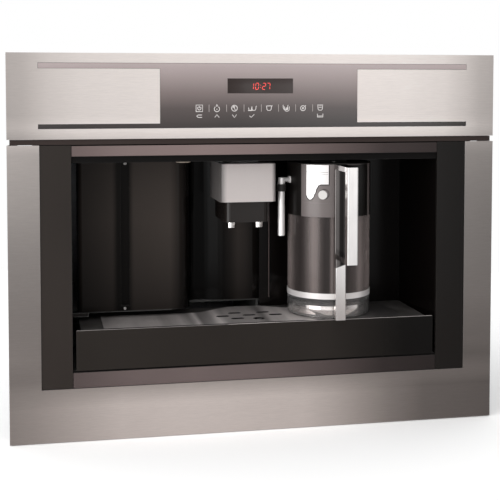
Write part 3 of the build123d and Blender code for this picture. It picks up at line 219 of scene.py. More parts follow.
class Effects:
    """Shader node groups that several finishes share, each built once."""

    @staticmethod
    def begin(name: str, **inputs: float | Point) -> tuple[NodeSheet, dict[str, Socket]]:
        """Starts a group.

        Args:
            name: The group's name.
            inputs: Each input's default, a number or a vector.

        Returns:
            The group's sheet, and its inputs' sockets by name.
        """
        tree = bpy.data.node_groups.new(name, "ShaderNodeTree")
        for label, default in inputs.items():
            kind = "NodeSocketVector" if isinstance(default, tuple) else "NodeSocketFloat"
            tree.interface.new_socket(name=label, in_out="INPUT", socket_type=kind).default_value = default
        sheet = NodeSheet(tree)
        return sheet, {socket.name: socket for socket in sheet.add("NodeGroupInput").outputs if socket.name}

    @staticmethod
    def end(sheet: NodeSheet, **outputs: Socket) -> bpy.types.NodeTree:
        """Ends a group.

        Args:
            sheet: The group's sheet.
            outputs: The sockets that the group puts out.

        Returns:
            The group's node tree.
        """
        for label, socket in outputs.items():
            kind = "NodeSocketVector" if socket.type == "VECTOR" else "NodeSocketFloat"
            sheet.tree.interface.new_socket(name=label, in_out="OUTPUT", socket_type=kind)
        sheet.add("NodeGroupOutput", outputs)
        return sheet.tree

    @staticmethod
    @cache
    def brushed_grain() -> bpy.types.NodeTree:
        """Fine scratches drawn along one way; gives Grain from 0 to 1.

        Returns:
            The group's node tree.
        """
        sheet, given = Effects.begin("brushed grain", Vector=(0, 0, 0), Stretch=(6.0, 6.0, 2600.0))
        drawn = sheet.add("VectorMath", {0: given["Vector"], 1: given["Stretch"]}, operation="MULTIPLY").outputs[0]
        coarse = sheet.add("TexNoise", {"Vector": drawn, "Scale": 1.0, "Detail": 4.0, "Roughness": 0.7})
        fine = sheet.add("TexNoise", {"Vector": drawn, "Scale": 4.3, "Detail": 2.0})
        both = sheet.combine("ADD", coarse.outputs[0], fine.outputs[0])
        return Effects.end(sheet, Grain=sheet.combine("MULTIPLY", both, 0.5))

    @staticmethod
    @cache
    def soft_cloud() -> bpy.types.NodeTree:
        """Slow uneven tone, such as handling or moulding leaves; gives Cloud from 0 to 1.

        Returns:
            The group's node tree.
        """
        sheet, given = Effects.begin("soft cloud", Vector=(0, 0, 0), Scale=6.0)
        noise = sheet.add("TexNoise", {"Vector": given["Vector"], "Scale": given["Scale"], "Detail": 3.0})
        return Effects.end(sheet, Cloud=sheet.spread(noise.outputs[0], 0.3, 0.7))

    @staticmethod
    @cache
    def edge_wear() -> bpy.types.NodeTree:
        """Edges, where handling polishes or lightens a piece; gives Edge from 0 to 1.

        Returns:
            The group's node tree.
        """
        sheet, given = Effects.begin("edge wear", Radius=0.0008)
        rounded = sheet.add("Bevel", {"Radius": given["Radius"]}, samples=4).outputs[0]
        flat = sheet.add("NewGeometry").outputs["Normal"]
        likeness = sheet.add("VectorMath", {0: rounded, 1: flat}, operation="DOT_PRODUCT")
        return Effects.end(sheet, Edge=sheet.spread(likeness.outputs["Value"], 1.0, 0.75))

    @staticmethod
    @cache
    def settled_dust() -> bpy.types.NodeTree:
        """A thin film on what faces up; gives Dust from 0 to Amount.

        Returns:
            The group's node tree.
        """
        sheet, given = Effects.begin("settled dust", Vector=(0, 0, 0), Amount=0.1)
        face = sheet.add("SeparateXYZ", {0: sheet.add("NewGeometry").outputs["Normal"]})
        upward = sheet.spread(face.outputs["Z"], 0.5, 1.0)
        noise = sheet.add("TexNoise", {"Vector": given["Vector"], "Scale": 55.0, "Detail": 5.0})
        film = sheet.combine("MULTIPLY", upward, noise.outputs[0])
        return Effects.end(sheet, Dust=sheet.combine("MULTIPLY", film, given["Amount"]))

    @staticmethod
    @cache
    def moulded_skin() -> bpy.types.NodeTree:
        """The fine texture of a moulded or cast surface; gives Normal and Height.

        Returns:
            The group's node tree.
        """
        sheet, given = Effects.begin("moulded skin", Vector=(0, 0, 0), Scale=900.0, Depth=0.2)
        noise = sheet.add("TexNoise", {"Vector": given["Vector"], "Scale": given["Scale"], "Detail": 3.0})
        bump = sheet.add("Bump", {"Strength": given["Depth"], "Distance": 0.0002, "Height": noise.outputs[0]})
        return Effects.end(sheet, Normal=bump.outputs[0], Height=noise.outputs[0])

    @staticmethod
    @cache
    def level_fade() -> bpy.types.NodeTree:
        """A fade along one way between two levels in metres; gives Fade from 0 to 1.

        Returns:
            The group's node tree.
        """
        sheet, given = Effects.begin("level fade", Vector=(0, 0, 0), Way=UP, Low=0.0, High=0.45)
        along = sheet.add("VectorMath", {0: given["Vector"], 1: given["Way"]}, operation="DOT_PRODUCT")
        return Effects.end(sheet, Fade=sheet.spread(along.outputs["Value"], given["Low"], given["High"]))


class Coat(NodeSheet):
    """A material's sheet, with its shader, its Object coordinates and the shared effects at hand."""

    def __init__(self, tree: bpy.types.NodeTree) -> None:
        """Empties the material's tree and starts it afresh.

        Args:
            tree: The material's node tree.
        """
        super().__init__(tree)
        tree.nodes.clear()
        self.shader = self.add("BsdfPrincipled")
        self.target = self.add("OutputMaterial", {"Surface": self.shader.outputs[0]})
        self.place = self.add("TexCoord").outputs["Object"]

    def effect(self, group: bpy.types.NodeTree, **feeds: object) -> dict[str, Socket]:
        """Places a group, and returns its outputs' sockets by name."""
        return {socket.name: socket for socket in self.add("Group", feeds, node_tree=group).outputs}

    def grain(self, stretch: Point) -> Socket:
        """Gives fine scratches, close together where the stretch is large."""
        return self.effect(Effects.brushed_grain(), Vector=self.place, Stretch=stretch)["Grain"]

    def cloud(self, scale: float) -> Socket:
        """Gives a slow uneven tone."""
        return self.effect(Effects.soft_cloud(), Vector=self.place, Scale=scale)["Cloud"]

    def edge(self, radius: float) -> Socket:
        """Gives a mask of the edges, as wide as the radius in metres."""
        return self.effect(Effects.edge_wear(), Radius=radius)["Edge"]

    def dust(self, amount: float) -> Socket:
        """Gives a film on what faces up."""
        return self.effect(Effects.settled_dust(), Vector=self.place, Amount=amount)["Dust"]

    def skin(self, scale: float, depth: float) -> dict[str, Socket]:
        """Gives the Normal and the Height of a moulded surface."""
        return self.effect(Effects.moulded_skin(), Vector=self.place, Scale=scale, Depth=depth)

    def fade(self, span: Span, way: Point = UP, value: Socket | None = None) -> Socket:
        """Gives a fade along one way.

        Args:
            span: Where the fade is 0 and where it is 1, in metres.
            way: The way that it runs along.
            value: The vector that it runs on, the Object coordinates where none is given.

        Returns:
            The fade's socket.
        """
        low, high = span
        return self.effect(Effects.level_fade(), Vector=value or self.place, Way=way, Low=low, High=high)["Fade"]

    def bands(self, sides: Span, tones: Bands) -> Socket:
        """Gives upright bands of painted light and shade from the left side to the right one."""
        return self.ramp(self.fade(sides, RIGHT), tones)

    def uneven(self, base: float, mask: Socket, low: float, high: float) -> Socket:
        """Gives a value that a mask moves from base + low to base + high."""
        return self.combine("ADD", self.scale(mask, low, high), base)

    def wear(self, **feeds: object) -> None:
        """Feeds the shader: Base_Color is its input Base Color, and so on."""
        self.connect(self.shader, {name.replace("_", " "): value for name, value in feeds.items()})


def shaded(colour: Colour, factor: float, lift: float = 0.0) -> Colour:
    """Gives a colour times a factor, plus a lift."""
    return tuple(lift + factor * c for c in colour)


# ---------------------------------------------------------------- finishes
class Finish:
    """Base of all finishes: a name and one material, made at its first use."""

    name: str
    _made: dict[str, bpy.types.Material] = {}

    def material(self) -> bpy.types.Material:
        """Returns the finish's material, built once.

        Returns:
            The material.
        """
        if self.name not in self._made:
            made = bpy.data.materials.new(self.name)
            made.use_nodes = True
            self.dress(Coat(made.node_tree))
            self._made[self.name] = made
        return self._made[self.name]

    def dress(self, coat: Coat) -> None:
        """Fills the material.

        Args:
            coat: The material's coat.
        """
        raise NotImplementedError


@dataclass(frozen=True)
class BrushedSteel(Finish):
    """Brushed stainless or plated steel, its grain along one way and its tone changing by height."""

    name: str
    colour: Colour
    tones: Bands = ((0.0, 0.9), (1.0, 1.0))
    roughness: float = 0.34
    stretch: Point = (9.0, 9.0, 2600.0)
    levels: Span = (0.0, 0.456)
    depth: float = 0.06
    contrast: float = 0.055
    fine_from: float = 100.0
    widened: float = 0.3
    shortened: float = 3.2

    def tone(self, coat: Coat) -> Socket:
        """Gives the steel's tone by height."""
        return coat.times(self.colour, coat.ramp(coat.fade(self.levels), self.tones))

    def broad(self, coat: Coat) -> Socket:
        """Gives the broad scratches: wider across the grain and shorter along it.

        Args:
            coat: The material's coat.

        Returns:
            Their tone's socket, round 1.
        """
        wide = tuple((self.widened if s >= self.fine_from else self.shortened) * s for s in self.stretch)
        return coat.ramp(coat.grain(wide), ((0.36, 1.0 - self.contrast), (0.64, 1.0 + self.contrast)))

    def dress(self, coat: Coat) -> None:
        """Fills the material with fine and broad grain, slow tone and polished edges.

        Args:
            coat: The material's coat.
        """
        grain = coat.grain(self.stretch)
        clouded = coat.lay(self.tone(coat), shaded(self.colour, 0.7), coat.cloud(scale=4.0), share=0.12)
        fine = coat.lay(clouded, (0.5, 0.48, 0.47), grain, share=0.5, blend="OVERLAY")
        drawn = coat.times(fine, self.broad(coat))
        bump = coat.add("Bump", {"Strength": self.depth, "Distance": 0.0001, "Height": grain})
        coat.wear(
            Base_Color=coat.lay(drawn, (0.9, 0.88, 0.87), coat.edge(radius=0.0009), share=0.35),
            Roughness=coat.uneven(self.roughness, grain, low=-0.05, high=0.05),
            Normal=bump.outputs[0],
            Metallic=1.0,
        )


@dataclass(frozen=True)
class FrontSteel(BrushedSteel):
    """The front's brushed steel, its tone painted differently from rail to rail: painted reflection of the room that it
    mirrors.
    """

    sides: Span = (-0.297, 0.297)
    sill: Span = (0.1, 0.045)
    head: Span = (0.35, 0.357)
    # Painted reflection of the room on the right stile, the sill and the head.
    right_painted_reflection: Bands = (
        (0.0, 1.25), (0.09, 1.25), (0.16, 0.5), (0.18, 0.34), (0.234, 0.3), (0.29, 0.334), (0.344, 0.4), (0.43, 0.445),
        (0.5, 0.47), (0.6, 0.51), (0.675, 0.57), (0.73, 0.63), (0.766, 0.8), (0.781, 1.2), (0.81, 1.45), (0.84, 1.32),
        (1.0, 1.4),
    )  # fmt: skip
    sill_painted_reflection: Bands = (
        (0.0, 0.5), (0.05, 0.6), (0.16, 0.94), (0.22, 1.14), (0.34, 1.22), (0.52, 1.19), (0.59, 1.14), (0.65, 0.93),
        (0.71, 0.67), (0.78, 0.42), (0.85, 0.26), (1.0, 0.2),
    )  # fmt: skip
    head_painted_reflection: Bands = (
        (0.0, 0.53), (0.03, 0.58), (0.08, 0.79), (0.14, 0.945), (0.2, 1.02), (0.32, 1.08), (0.56, 1.06), (0.7, 1.09),
        (0.8, 1.15), (0.89, 1.14), (0.94, 0.98), (0.97, 0.82), (1.0, 0.78),
    )  # fmt: skip

    def tone(self, coat: Coat) -> Socket:
        """Gives the steel's painted reflection by height and across the front.

        Args:
            coat: The material's coat.

        Returns:
            The tone's colour socket.
        """
        across = coat.fade(self.sides, RIGHT)
        height = coat.fade(self.levels)
        painted_stile_reflection = coat.mix(across, coat.ramp(height, self.tones), coat.ramp(height, self.right_painted_reflection))
        sill = coat.mix(coat.fade(self.sill), (1.0, 1.0, 1.0), coat.ramp(across, self.sill_painted_reflection))
        painted_front_reflection = coat.mix(coat.fade(self.head), sill, coat.ramp(across, self.head_painted_reflection))
        return coat.times(coat.times(self.colour, painted_stile_reflection), painted_front_reflection)


@dataclass(frozen=True)
class GlossMoulding(Finish):
    """A dark gloss moulding with painted light and shade: its tone changes by height and in bands across."""

    name: str
    colour: Colour
    lift: Colour
    roughness: float = 0.12
    specular: float = 0.5
    levels: Span = (0.1, 0.33)
    sides: Span = (-0.26, 0.26)
    across: Bands = EVEN

    def dress(self, coat: Coat) -> None:
        """Fills the material with its painted light and shade, slow clouds, faint waves, dust and edges.

        Args:
            coat: The material's coat.
        """
        cloud = coat.cloud(scale=9.0)
        # Painted light: lighter upwards from colour to lift, and bands of painted reflection and shade across.
        height = coat.mix(coat.fade(self.levels), self.colour, self.lift)
        tone = coat.times(height, coat.bands(self.sides, self.across))
        clouded = coat.lay(tone, coat.times((1.35, 1.35, 1.35), tone), cloud, share=0.3)
        worn = coat.lay(clouded, (0.3, 0.28, 0.27), coat.edge(radius=0.0006), share=0.08)
        coat.wear(
            Base_Color=coat.mix(coat.dust(amount=0.12), worn, (0.55, 0.52, 0.5)),
            Roughness=coat.uneven(self.roughness, cloud, low=0.0, high=0.06),
            Normal=coat.skin(scale=14.0, depth=0.05)["Normal"],
            Specular_IOR_Level=self.specular,
        )


@dataclass(frozen=True)
class PrintedGlass(Finish):
    """The touch panel's glass, printed behind with a tone that darkens downwards."""

    name: str
    levels: Span
    tones: tuple[tuple[float, Colour], ...]

    def dress(self, coat: Coat) -> None:
        """Fills the material with the printed ramp and a very fine dot screen.

        Args:
            coat: The material's coat.
        """
        cloud = coat.cloud(scale=5.0)
        dots = coat.add("TexVoronoi", {"Vector": coat.place, "Scale": 1400.0}).outputs["Distance"]
        printed = coat.ramp(coat.fade(self.levels), self.tones)
        screened = coat.lay(printed, (0.0, 0.0, 0.0), dots, share=0.06)
        toned = coat.lay(screened, (0.5, 0.4, 0.38), cloud, share=0.05)
        coat.wear(
            Base_Color=coat.lay(toned, (0.12, 0.09, 0.09), coat.edge(radius=0.0005), share=0.3),
            Roughness=coat.scale(cloud, low=0.07, high=0.11),
            Coat_Weight=0.3,
            Coat_Roughness=0.04,
        )


@dataclass(frozen=True)
class Chrome(Finish):
    """Bright or satin chrome with long soft streaks, bands of painted reflection across and fine wiping marks."""

    name: str
    colour: Colour
    shade: Colour
    roughness: float = 0.08
    streak: Point = (18.0, 18.0, 3.0)
    waves: float = 0.03
    sides: Span = (-0.187, 0.183)
    across: Bands = EVEN
    metal: float = 1.0

    def tone(self, coat: Coat) -> Socket:
        """Gives the chrome's streaked tone under its bands of painted reflection, with its dust.

        Args:
            coat: The material's coat.

        Returns:
            The tone's colour socket.
        """
        streaks = coat.spread(coat.grain(self.streak), low=0.38, high=0.62)
        tone = coat.times(coat.mix(streaks, self.shade, self.colour), coat.bands(self.sides, self.across))
        return coat.mix(coat.dust(amount=0.08), tone, (0.6, 0.58, 0.57))

    def dress(self, coat: Coat) -> None:
        """Fills the material with its tone, wiping marks and a slight waviness.

        Args:
            coat: The material's coat.
        """
        coat.wear(
            Base_Color=self.tone(coat),
            Roughness=coat.uneven(self.roughness, coat.cloud(scale=22.0), low=0.0, high=0.05),
            Normal=coat.skin(scale=40.0, depth=self.waves)["Normal"],
            Metallic=self.metal,
        )


@dataclass(frozen=True)
class HandleChrome(Chrome):
    """The handle's chrome: bright on the grip, with painted shade on the inside of its loop."""

    grip_back: Span = (-0.2535, -0.2505)
    step: Span = (0.1638, 0.1648)
    slant: float = -0.35
    loop: Span = (0.092, 0.105)
    # Painted shade inside the loop, darkest in its middle.
    loop_painted_shade: Bands = (
        (0.0, 0.2), (0.12, 0.14), (0.35, 0.1), (0.48, 0.02), (0.8, 0.015), (0.9, 0.05), (0.96, 0.2), (1.0, 0.25),
    )  # fmt: skip

    def tone(self, coat: Coat) -> Socket:
        """Paints shade on what lies behind the grip and above the step.

        Args:
            coat: The material's coat.

        Returns:
            The tone's colour socket.
        """
        inside = coat.combine("MULTIPLY", coat.fade(self.grip_back, BACK), coat.fade(self.step, (self.slant, 0, 1)))
        painted_loop_shade = coat.times((1.0, 0.92, 0.9), coat.bands(self.loop, self.loop_painted_shade))
        return coat.mix(inside, super().tone(coat), painted_loop_shade)


@dataclass(frozen=True)
class SlottedChrome(Chrome):
    """Chromed sheet with painted shade: its punched slots are painted dark inside."""

    def tone(self, coat: Coat) -> Socket:
        """Paints shade on the upright walls of the slots, and on every face that does not look up.

        Args:
            coat: The material's coat.

        Returns:
            The tone's colour socket.
        """
        # Painted shade: faces that don't look up turn near black.
        facing = coat.fade((0.3, 0.6), value=coat.add("NewGeometry").outputs["Normal"])
        return coat.mix(facing, (0.01, 0.008, 0.008), super().tone(coat))


@dataclass(frozen=True)
class SatinPaint(Finish):
    """Silver satin paint with bands of painted shade across: metal flakes under a thin clear coat."""

    name: str
    colour: Colour
    metal: float = 0.55
    roughness: float = 0.38
    sides: Span = (-0.0435, 0.0265)
    across: Bands = EVEN

    def dress(self, coat: Coat) -> None:
        """Fills the material with flakes, slow tone, its bands of painted shade and lighter edges.

        Args:
            coat: The material's coat.
        """
        cloud = coat.cloud(scale=12.0)
        flakes = coat.add("TexVoronoi", {"Vector": coat.place, "Scale": 2600.0}).outputs["Distance"]
        sparkle = coat.lay(self.colour, shaded(self.colour, 0.55), flakes, share=0.25)
        clouded = coat.lay(sparkle, shaded(self.colour, 0.82), cloud, share=0.12)
        toned = coat.times(clouded, coat.bands(self.sides, self.across))
        coat.wear(
            Base_Color=coat.lay(toned, (0.85, 0.82, 0.81), coat.edge(radius=0.0008), share=0.03),
            Roughness=coat.uneven(self.roughness, cloud, low=-0.03, high=0.05),
            Normal=coat.skin(scale=1500.0, depth=0.12)["Normal"],
            Metallic=self.metal,
            Coat_Weight=0.25,
            Coat_Roughness=0.15,
        )


@dataclass(frozen=True)
class Spangle(Finish):
    """Galvanised sheet with its zinc spangle."""

    name: str
    colour: Colour
    shade: Colour
    scale: float = 60.0

    def dress(self, coat: Coat) -> None:
        """Fills the material with crystal cells, wipe marks and dust.

        Args:
            coat: The material's coat.
        """
        cells = coat.add(
            "TexVoronoi", {"Vector": coat.place, "Scale": self.scale, "Randomness": 1.0}, distance="MINKOWSKI"
        )
        grey = coat.add("SeparateColor", {0: cells.outputs["Color"]})
        tone = coat.lay(self.colour, self.shade, grey.outputs[0], share=0.55)
        clouded = coat.lay(tone, shaded(self.colour, 0.8), coat.cloud(scale=7.0), share=0.2)
        bright = coat.lay(clouded, (0.8, 0.8, 0.81), coat.edge(radius=0.0008), share=0.35)
        coat.wear(
            Base_Color=coat.mix(coat.dust(amount=0.25), bright, (0.6, 0.58, 0.55)),
            Roughness=coat.scale(grey.outputs[1], low=0.34, high=0.5),
            Metallic=0.85,
        )


@dataclass(frozen=True)
class MatteMoulding(Finish):
    """Textured plastic or rubber, and printed ink."""

    name: str
    colour: Colour
    roughness: float = 0.55
    skin: float = 900.0
    depth: float = 0.35
    specular: float = 0.4

    def dress(self, coat: Coat) -> None:
        """Fills the material with a moulded texture, slow tone, scuffed edges and dust.

        Args:
            coat: The material's coat.
        """
        skin = coat.skin(scale=self.skin, depth=self.depth)
        cloud = coat.cloud(scale=10.0)
        speck = coat.lay(self.colour, shaded(self.colour, 0.6), skin["Height"], share=0.3)
        clouded = coat.lay(speck, shaded(self.colour, 1.3), cloud, share=0.2)
        scuffed = coat.lay(clouded, shaded(self.colour, 0.5, lift=0.3), coat.edge(radius=0.0007), share=0.08)
        coat.wear(
            Base_Color=coat.mix(coat.dust(amount=0.15), scuffed, (0.5, 0.48, 0.46)),
            Roughness=coat.uneven(self.roughness, cloud, low=-0.05, high=0.07),
            Normal=skin["Normal"],
            Specular_IOR_Level=self.specular,
        )


@dataclass(frozen=True)
class ClearMoulding(Finish):
    """Clear or smoky plastic, its tint under bands of painted reflection across."""

    name: str
    colour: Colour
    shade: Colour
    transmission: float = 0.9
    roughness: float = 0.03
    ior: float = 1.49
    sides: Span = (0.048, 0.152)
    across: Bands = EVEN

    def dress(self, coat: Coat) -> None:
        """Fills the material with its tint under bands of painted reflection, and a faint cloud in tint and polish.

        Args:
            coat: The material's coat.
        """
        cloud = coat.cloud(scale=16.0)
        tint = coat.lay(self.colour, self.shade, cloud, share=0.5)
        coat.wear(
            Base_Color=coat.times(tint, coat.bands(self.sides, self.across)),
            Roughness=coat.uneven(self.roughness, cloud, low=0.0, high=0.03),
            Normal=coat.skin(scale=25.0, depth=0.03)["Normal"],
            Transmission_Weight=self.transmission,
            Specular_Tint=(1.0, 0.92, 0.9, 1.0),
            IOR=self.ior,
        )


@dataclass(frozen=True)
class PaleFloor(Finish):
    """The studio floor: pale to look at, dimmer where gloss mirrors it."""

    name: str
    colour: Colour
    mirrored: Colour

    def dress(self, coat: Coat) -> None:
        """Fills the material with a faint cloud and a dimmer tone for mirrored rays.

        Args:
            coat: The material's coat.
        """
        pale = coat.lay(self.colour, shaded(self.colour, 0.97), coat.cloud(scale=2.0), share=0.3)
        coat.wear(Base_Color=pale, Roughness=0.85, Specular_IOR_Level=0.1)
        dim = coat.add("Emission", {"Color": (*self.mirrored, 1.0), "Strength": 1.0})
        mirrored = coat.add("LightPath").outputs["Is Glossy Ray"]
        both = coat.add("MixShader", {0: mirrored, 1: coat.shader.outputs[0], 2: dim.outputs[0]})
        coat.connect(coat.target, {"Surface": both.outputs[0]})


@dataclass(frozen=True)
class Glow(Finish):
    """A lit segment or lamp under a thin diffuser."""

    name: str
    colour: Colour
    strength: float

    def dress(self, coat: Coat) -> None:
        """Fills the material with a slightly uneven glow.

        Args:
            coat: The material's coat.
        """
        light = coat.lay(self.colour, shaded(self.colour, 0.6), coat.cloud(scale=300.0), share=0.4)
        coat.wear(Emission_Color=light, Base_Color=light, Emission_Strength=self.strength, Roughness=0.4)


# ---------------------------------------------------------------- the studio
@dataclass
class Studio:
    """The camera, the pale floor, the room's light and two soft lamps."""

    eye: Point = (-0.2712, -1.485, 0.416)
    yaw: float = 11.44
    pitch: float = 3.0
    lens: float = 78.59
    shift: float = -0.2108
    floor_radius: float = 1.1
    room_strength: float = 1.65
    around: Bands = (
        (-180, 0.85), (-150, 1.0), (-100, 0.95), (-93, 0.6), (-86, 0.42), (-80, 0.5), (-74, 0.95), (-69.5, 0.95),
        (-67, 0.3), (-64, 0.12), (-50, 0.12), (-20, 0.45), (40, 0.7), (180, 0.85),
    )  # fmt: skip
    upward: Bands = ((0.0, 0.3), (0.38, 0.4), (0.45, 0.85), (0.5, 1.0), (0.62, 0.85), (1.0, 0.8))

    def set_camera(self) -> None:
        """Adds the camera where the picture was taken from."""
        lens = bpy.data.cameras.new("camera")
        camera = bpy.data.objects.new("camera", lens)
        bpy.context.scene.collection.objects.link(camera)
        camera.location = self.eye
        camera.rotation_euler = (math.radians(90 - self.pitch), 0.0, math.radians(-self.yaw))
        lens.sensor_width = 36.0
        lens.lens = self.lens
        lens.shift_y = self.shift
        lens.clip_start = 0.05
        bpy.context.scene.camera = camera
        bpy.context.scene.view_settings.view_transform = "Standard"

    def set_room(self) -> None:
        """Makes the room: bright at the front left, dim at the front right, white to the camera."""
        world = bpy.data.worlds.new("room")
        bpy.context.scene.world = world
        world.use_nodes = True
        world.node_tree.nodes.clear()
        sheet = NodeSheet(world.node_tree)
        way = sheet.add("SeparateXYZ", {0: sheet.add("TexCoord").outputs["Generated"]})
        turn = sheet.combine("ARCTAN2", way.outputs["Y"], way.outputs["X"])
        sides = sheet.ramp(sheet.spread(turn, -math.pi, math.pi), [((d + 180) / 360, float(t)) for d, t in self.around])
        heights = sheet.ramp(sheet.spread(way.outputs["Z"], -1.0, 1.0), self.upward)
        room = sheet.add("Background", {"Color": sheet.times(sides, heights), "Strength": self.room_strength})
        plain = sheet.add("Background", {"Color": (1.0, 1.0, 1.0, 1.0), "Strength": 1.0})
        seen = sheet.add("LightPath").outputs["Is Camera Ray"]
        both = sheet.add("MixShader", {0: seen, 1: room.outputs[0], 2: plain.outputs[0]})
        sheet.add("OutputWorld", {"Surface": both.outputs[0]})

    def set_lamps(self) -> None:
        """Hangs the broad lamp above and the soft one at the front left."""
        for name, power, size, place, aim in (
            ("broad lamp", 34.0, (3.0, 3.0), (-0.3, -0.9, 3.0), (0.0, 0.0, 0.2)),
            ("side lamp", 13.0, (1.3, 1.5), (-1.56, -1.27, 0.5), (0.1, -0.15, 0.25)),
        ):
            lamp = bpy.data.lights.new(name, "AREA")
            lamp.energy = power
            lamp.shape = "RECTANGLE"
            lamp.size, lamp.size_y = size
            hung = bpy.data.objects.new(name, lamp)
            bpy.context.scene.collection.objects.link(hung)
            hung.location = place
            hung.rotation_euler = (Vector(place) - Vector(aim)).to_track_quat("Z", "Y").to_euler()

    def set_floor(self) -> None:
        """Lays the pale round floor."""
        bpy.ops.mesh.primitive_circle_add(radius=self.floor_radius, vertices=96, fill_type="NGON", location=(0, 0, 0))
        floor = bpy.context.object
        floor.name = "floor"
        floor.data.materials.append(PaleFloor("pale floor", (0.95, 0.95, 0.95), (0.5, 0.47, 0.46)).material())

    def build(self) -> None:
        """Sets up all of the studio."""
        self.set_camera()
        self.set_room()
        self.set_lamps()
        self.set_floor()


# ---------------------------------------------------------------- finishes by slot
# Painted reflection and shade on the front steel by height: lighter where the room is mirrored, darker where it is not.
FRONT_PAINTED_REFLECTION = (
    (0.0, 1.25), (0.09, 1.25), (0.16, 0.6), (0.182, 0.55), (0.233, 0.49), (0.283, 0.455), (0.334, 0.435), (0.435, 0.46),
    (0.486, 0.49), (0.536, 0.54), (0.59, 0.61), (0.69, 0.7), (0.74, 0.74), (0.766, 0.9), (0.781, 1.2), (0.81, 1.55),
    (0.84, 1.35), (1.0, 1.4),
)  # fmt: skip
# Painted reflection across the side borders, the cross strips and the tray front.
BORDER_PAINTED_REFLECTION = ((0.0, 1.0), (1.0, 0.22))
STRIP_PAINTED_REFLECTION = ((0.0, 0.45), (0.2, 0.85), (0.35, 1.0), (0.5, 0.9), (0.68, 0.5), (0.8, 0.2), (1.0, 0.1))
TRAY_PAINTED_REFLECTION = ((0.0, 1.0), (0.65, 1.0), (0.85, 0.1), (1.0, 0.08))
# Painted light and shade across the service door: its lit faces and the column's highlight, and shade in the groove and
# where the door turns back.
DOOR_PAINTED_LIGHT_AND_SHADE = (
    (0.0, 0.35), (0.02, 0.55), (0.18, 0.8), (0.205, 0.15), (0.265, 0.15), (0.29, 1.0), (0.48, 1.17), (0.53, 0.4),
    (0.57, 0.1), (0.61, 0.02), (0.69, 0.04), (0.76, 0.08), (0.8, 0.15), (0.84, 0.45), (0.88, 1.0), (0.92, 0.75),
    (0.96, 0.25), (1.0, 0.08),
)  # fmt: skip
# Painted reflection across the drip plate: bright arcs and dark bands.
PLATE_PAINTED_REFLECTION = (
    (0.0, 0.45), (0.05, 0.6), (0.18, 0.6), (0.2, 0.4), (0.26, 0.75), (0.29, 0.5), (0.31, 1.1), (0.325, 0.3),
    (0.36, 0.6), (0.385, 1.15), (0.41, 0.6), (0.5, 0.6), (0.54, 0.3), (0.56, 0.75), (0.62, 1.0), (0.8, 0.6),
    (0.88, 0.2), (0.93, 0.08), (1.0, 0.05),
)  # fmt: skip
# Painted reflection across the smoky jug: bright and dark upright bands for what its glass mirrors.
JUG_PAINTED_REFLECTION = (
    (0.0, 3.5), (0.02, 1.6), (0.04, 0.75), (0.076, 0.5), (0.117, 0.8), (0.159, 1.6), (0.2, 2.8), (0.235, 2.4),
    (0.275, 1.0), (0.32, 0.4), (0.375, 0.45), (0.4, 2.2), (0.42, 2.5), (0.44, 0.5), (0.7, 1.2), (0.77, 3.0),
    (0.84, 2.0), (0.92, 4.0), (1.0, 6.0),
)  # fmt: skip
# Painted shade on the spout cap: darker on its left side, its fillet and its right edge.
CAP_PAINTED_SHADE = ((0.0, 0.42), (0.012, 0.16), (0.05, 0.3), (0.085, 0.8), (0.12, 1.0), (0.93, 1.0), (1.0, 0.75))
GLASS_TONES = (
    (0.0, (0.006, 0.0035, 0.0032)),
    (0.3, (0.055, 0.042, 0.04)),
    (0.55, (0.165, 0.13, 0.126)),
    (1.0, (0.4, 0.335, 0.33)),
)
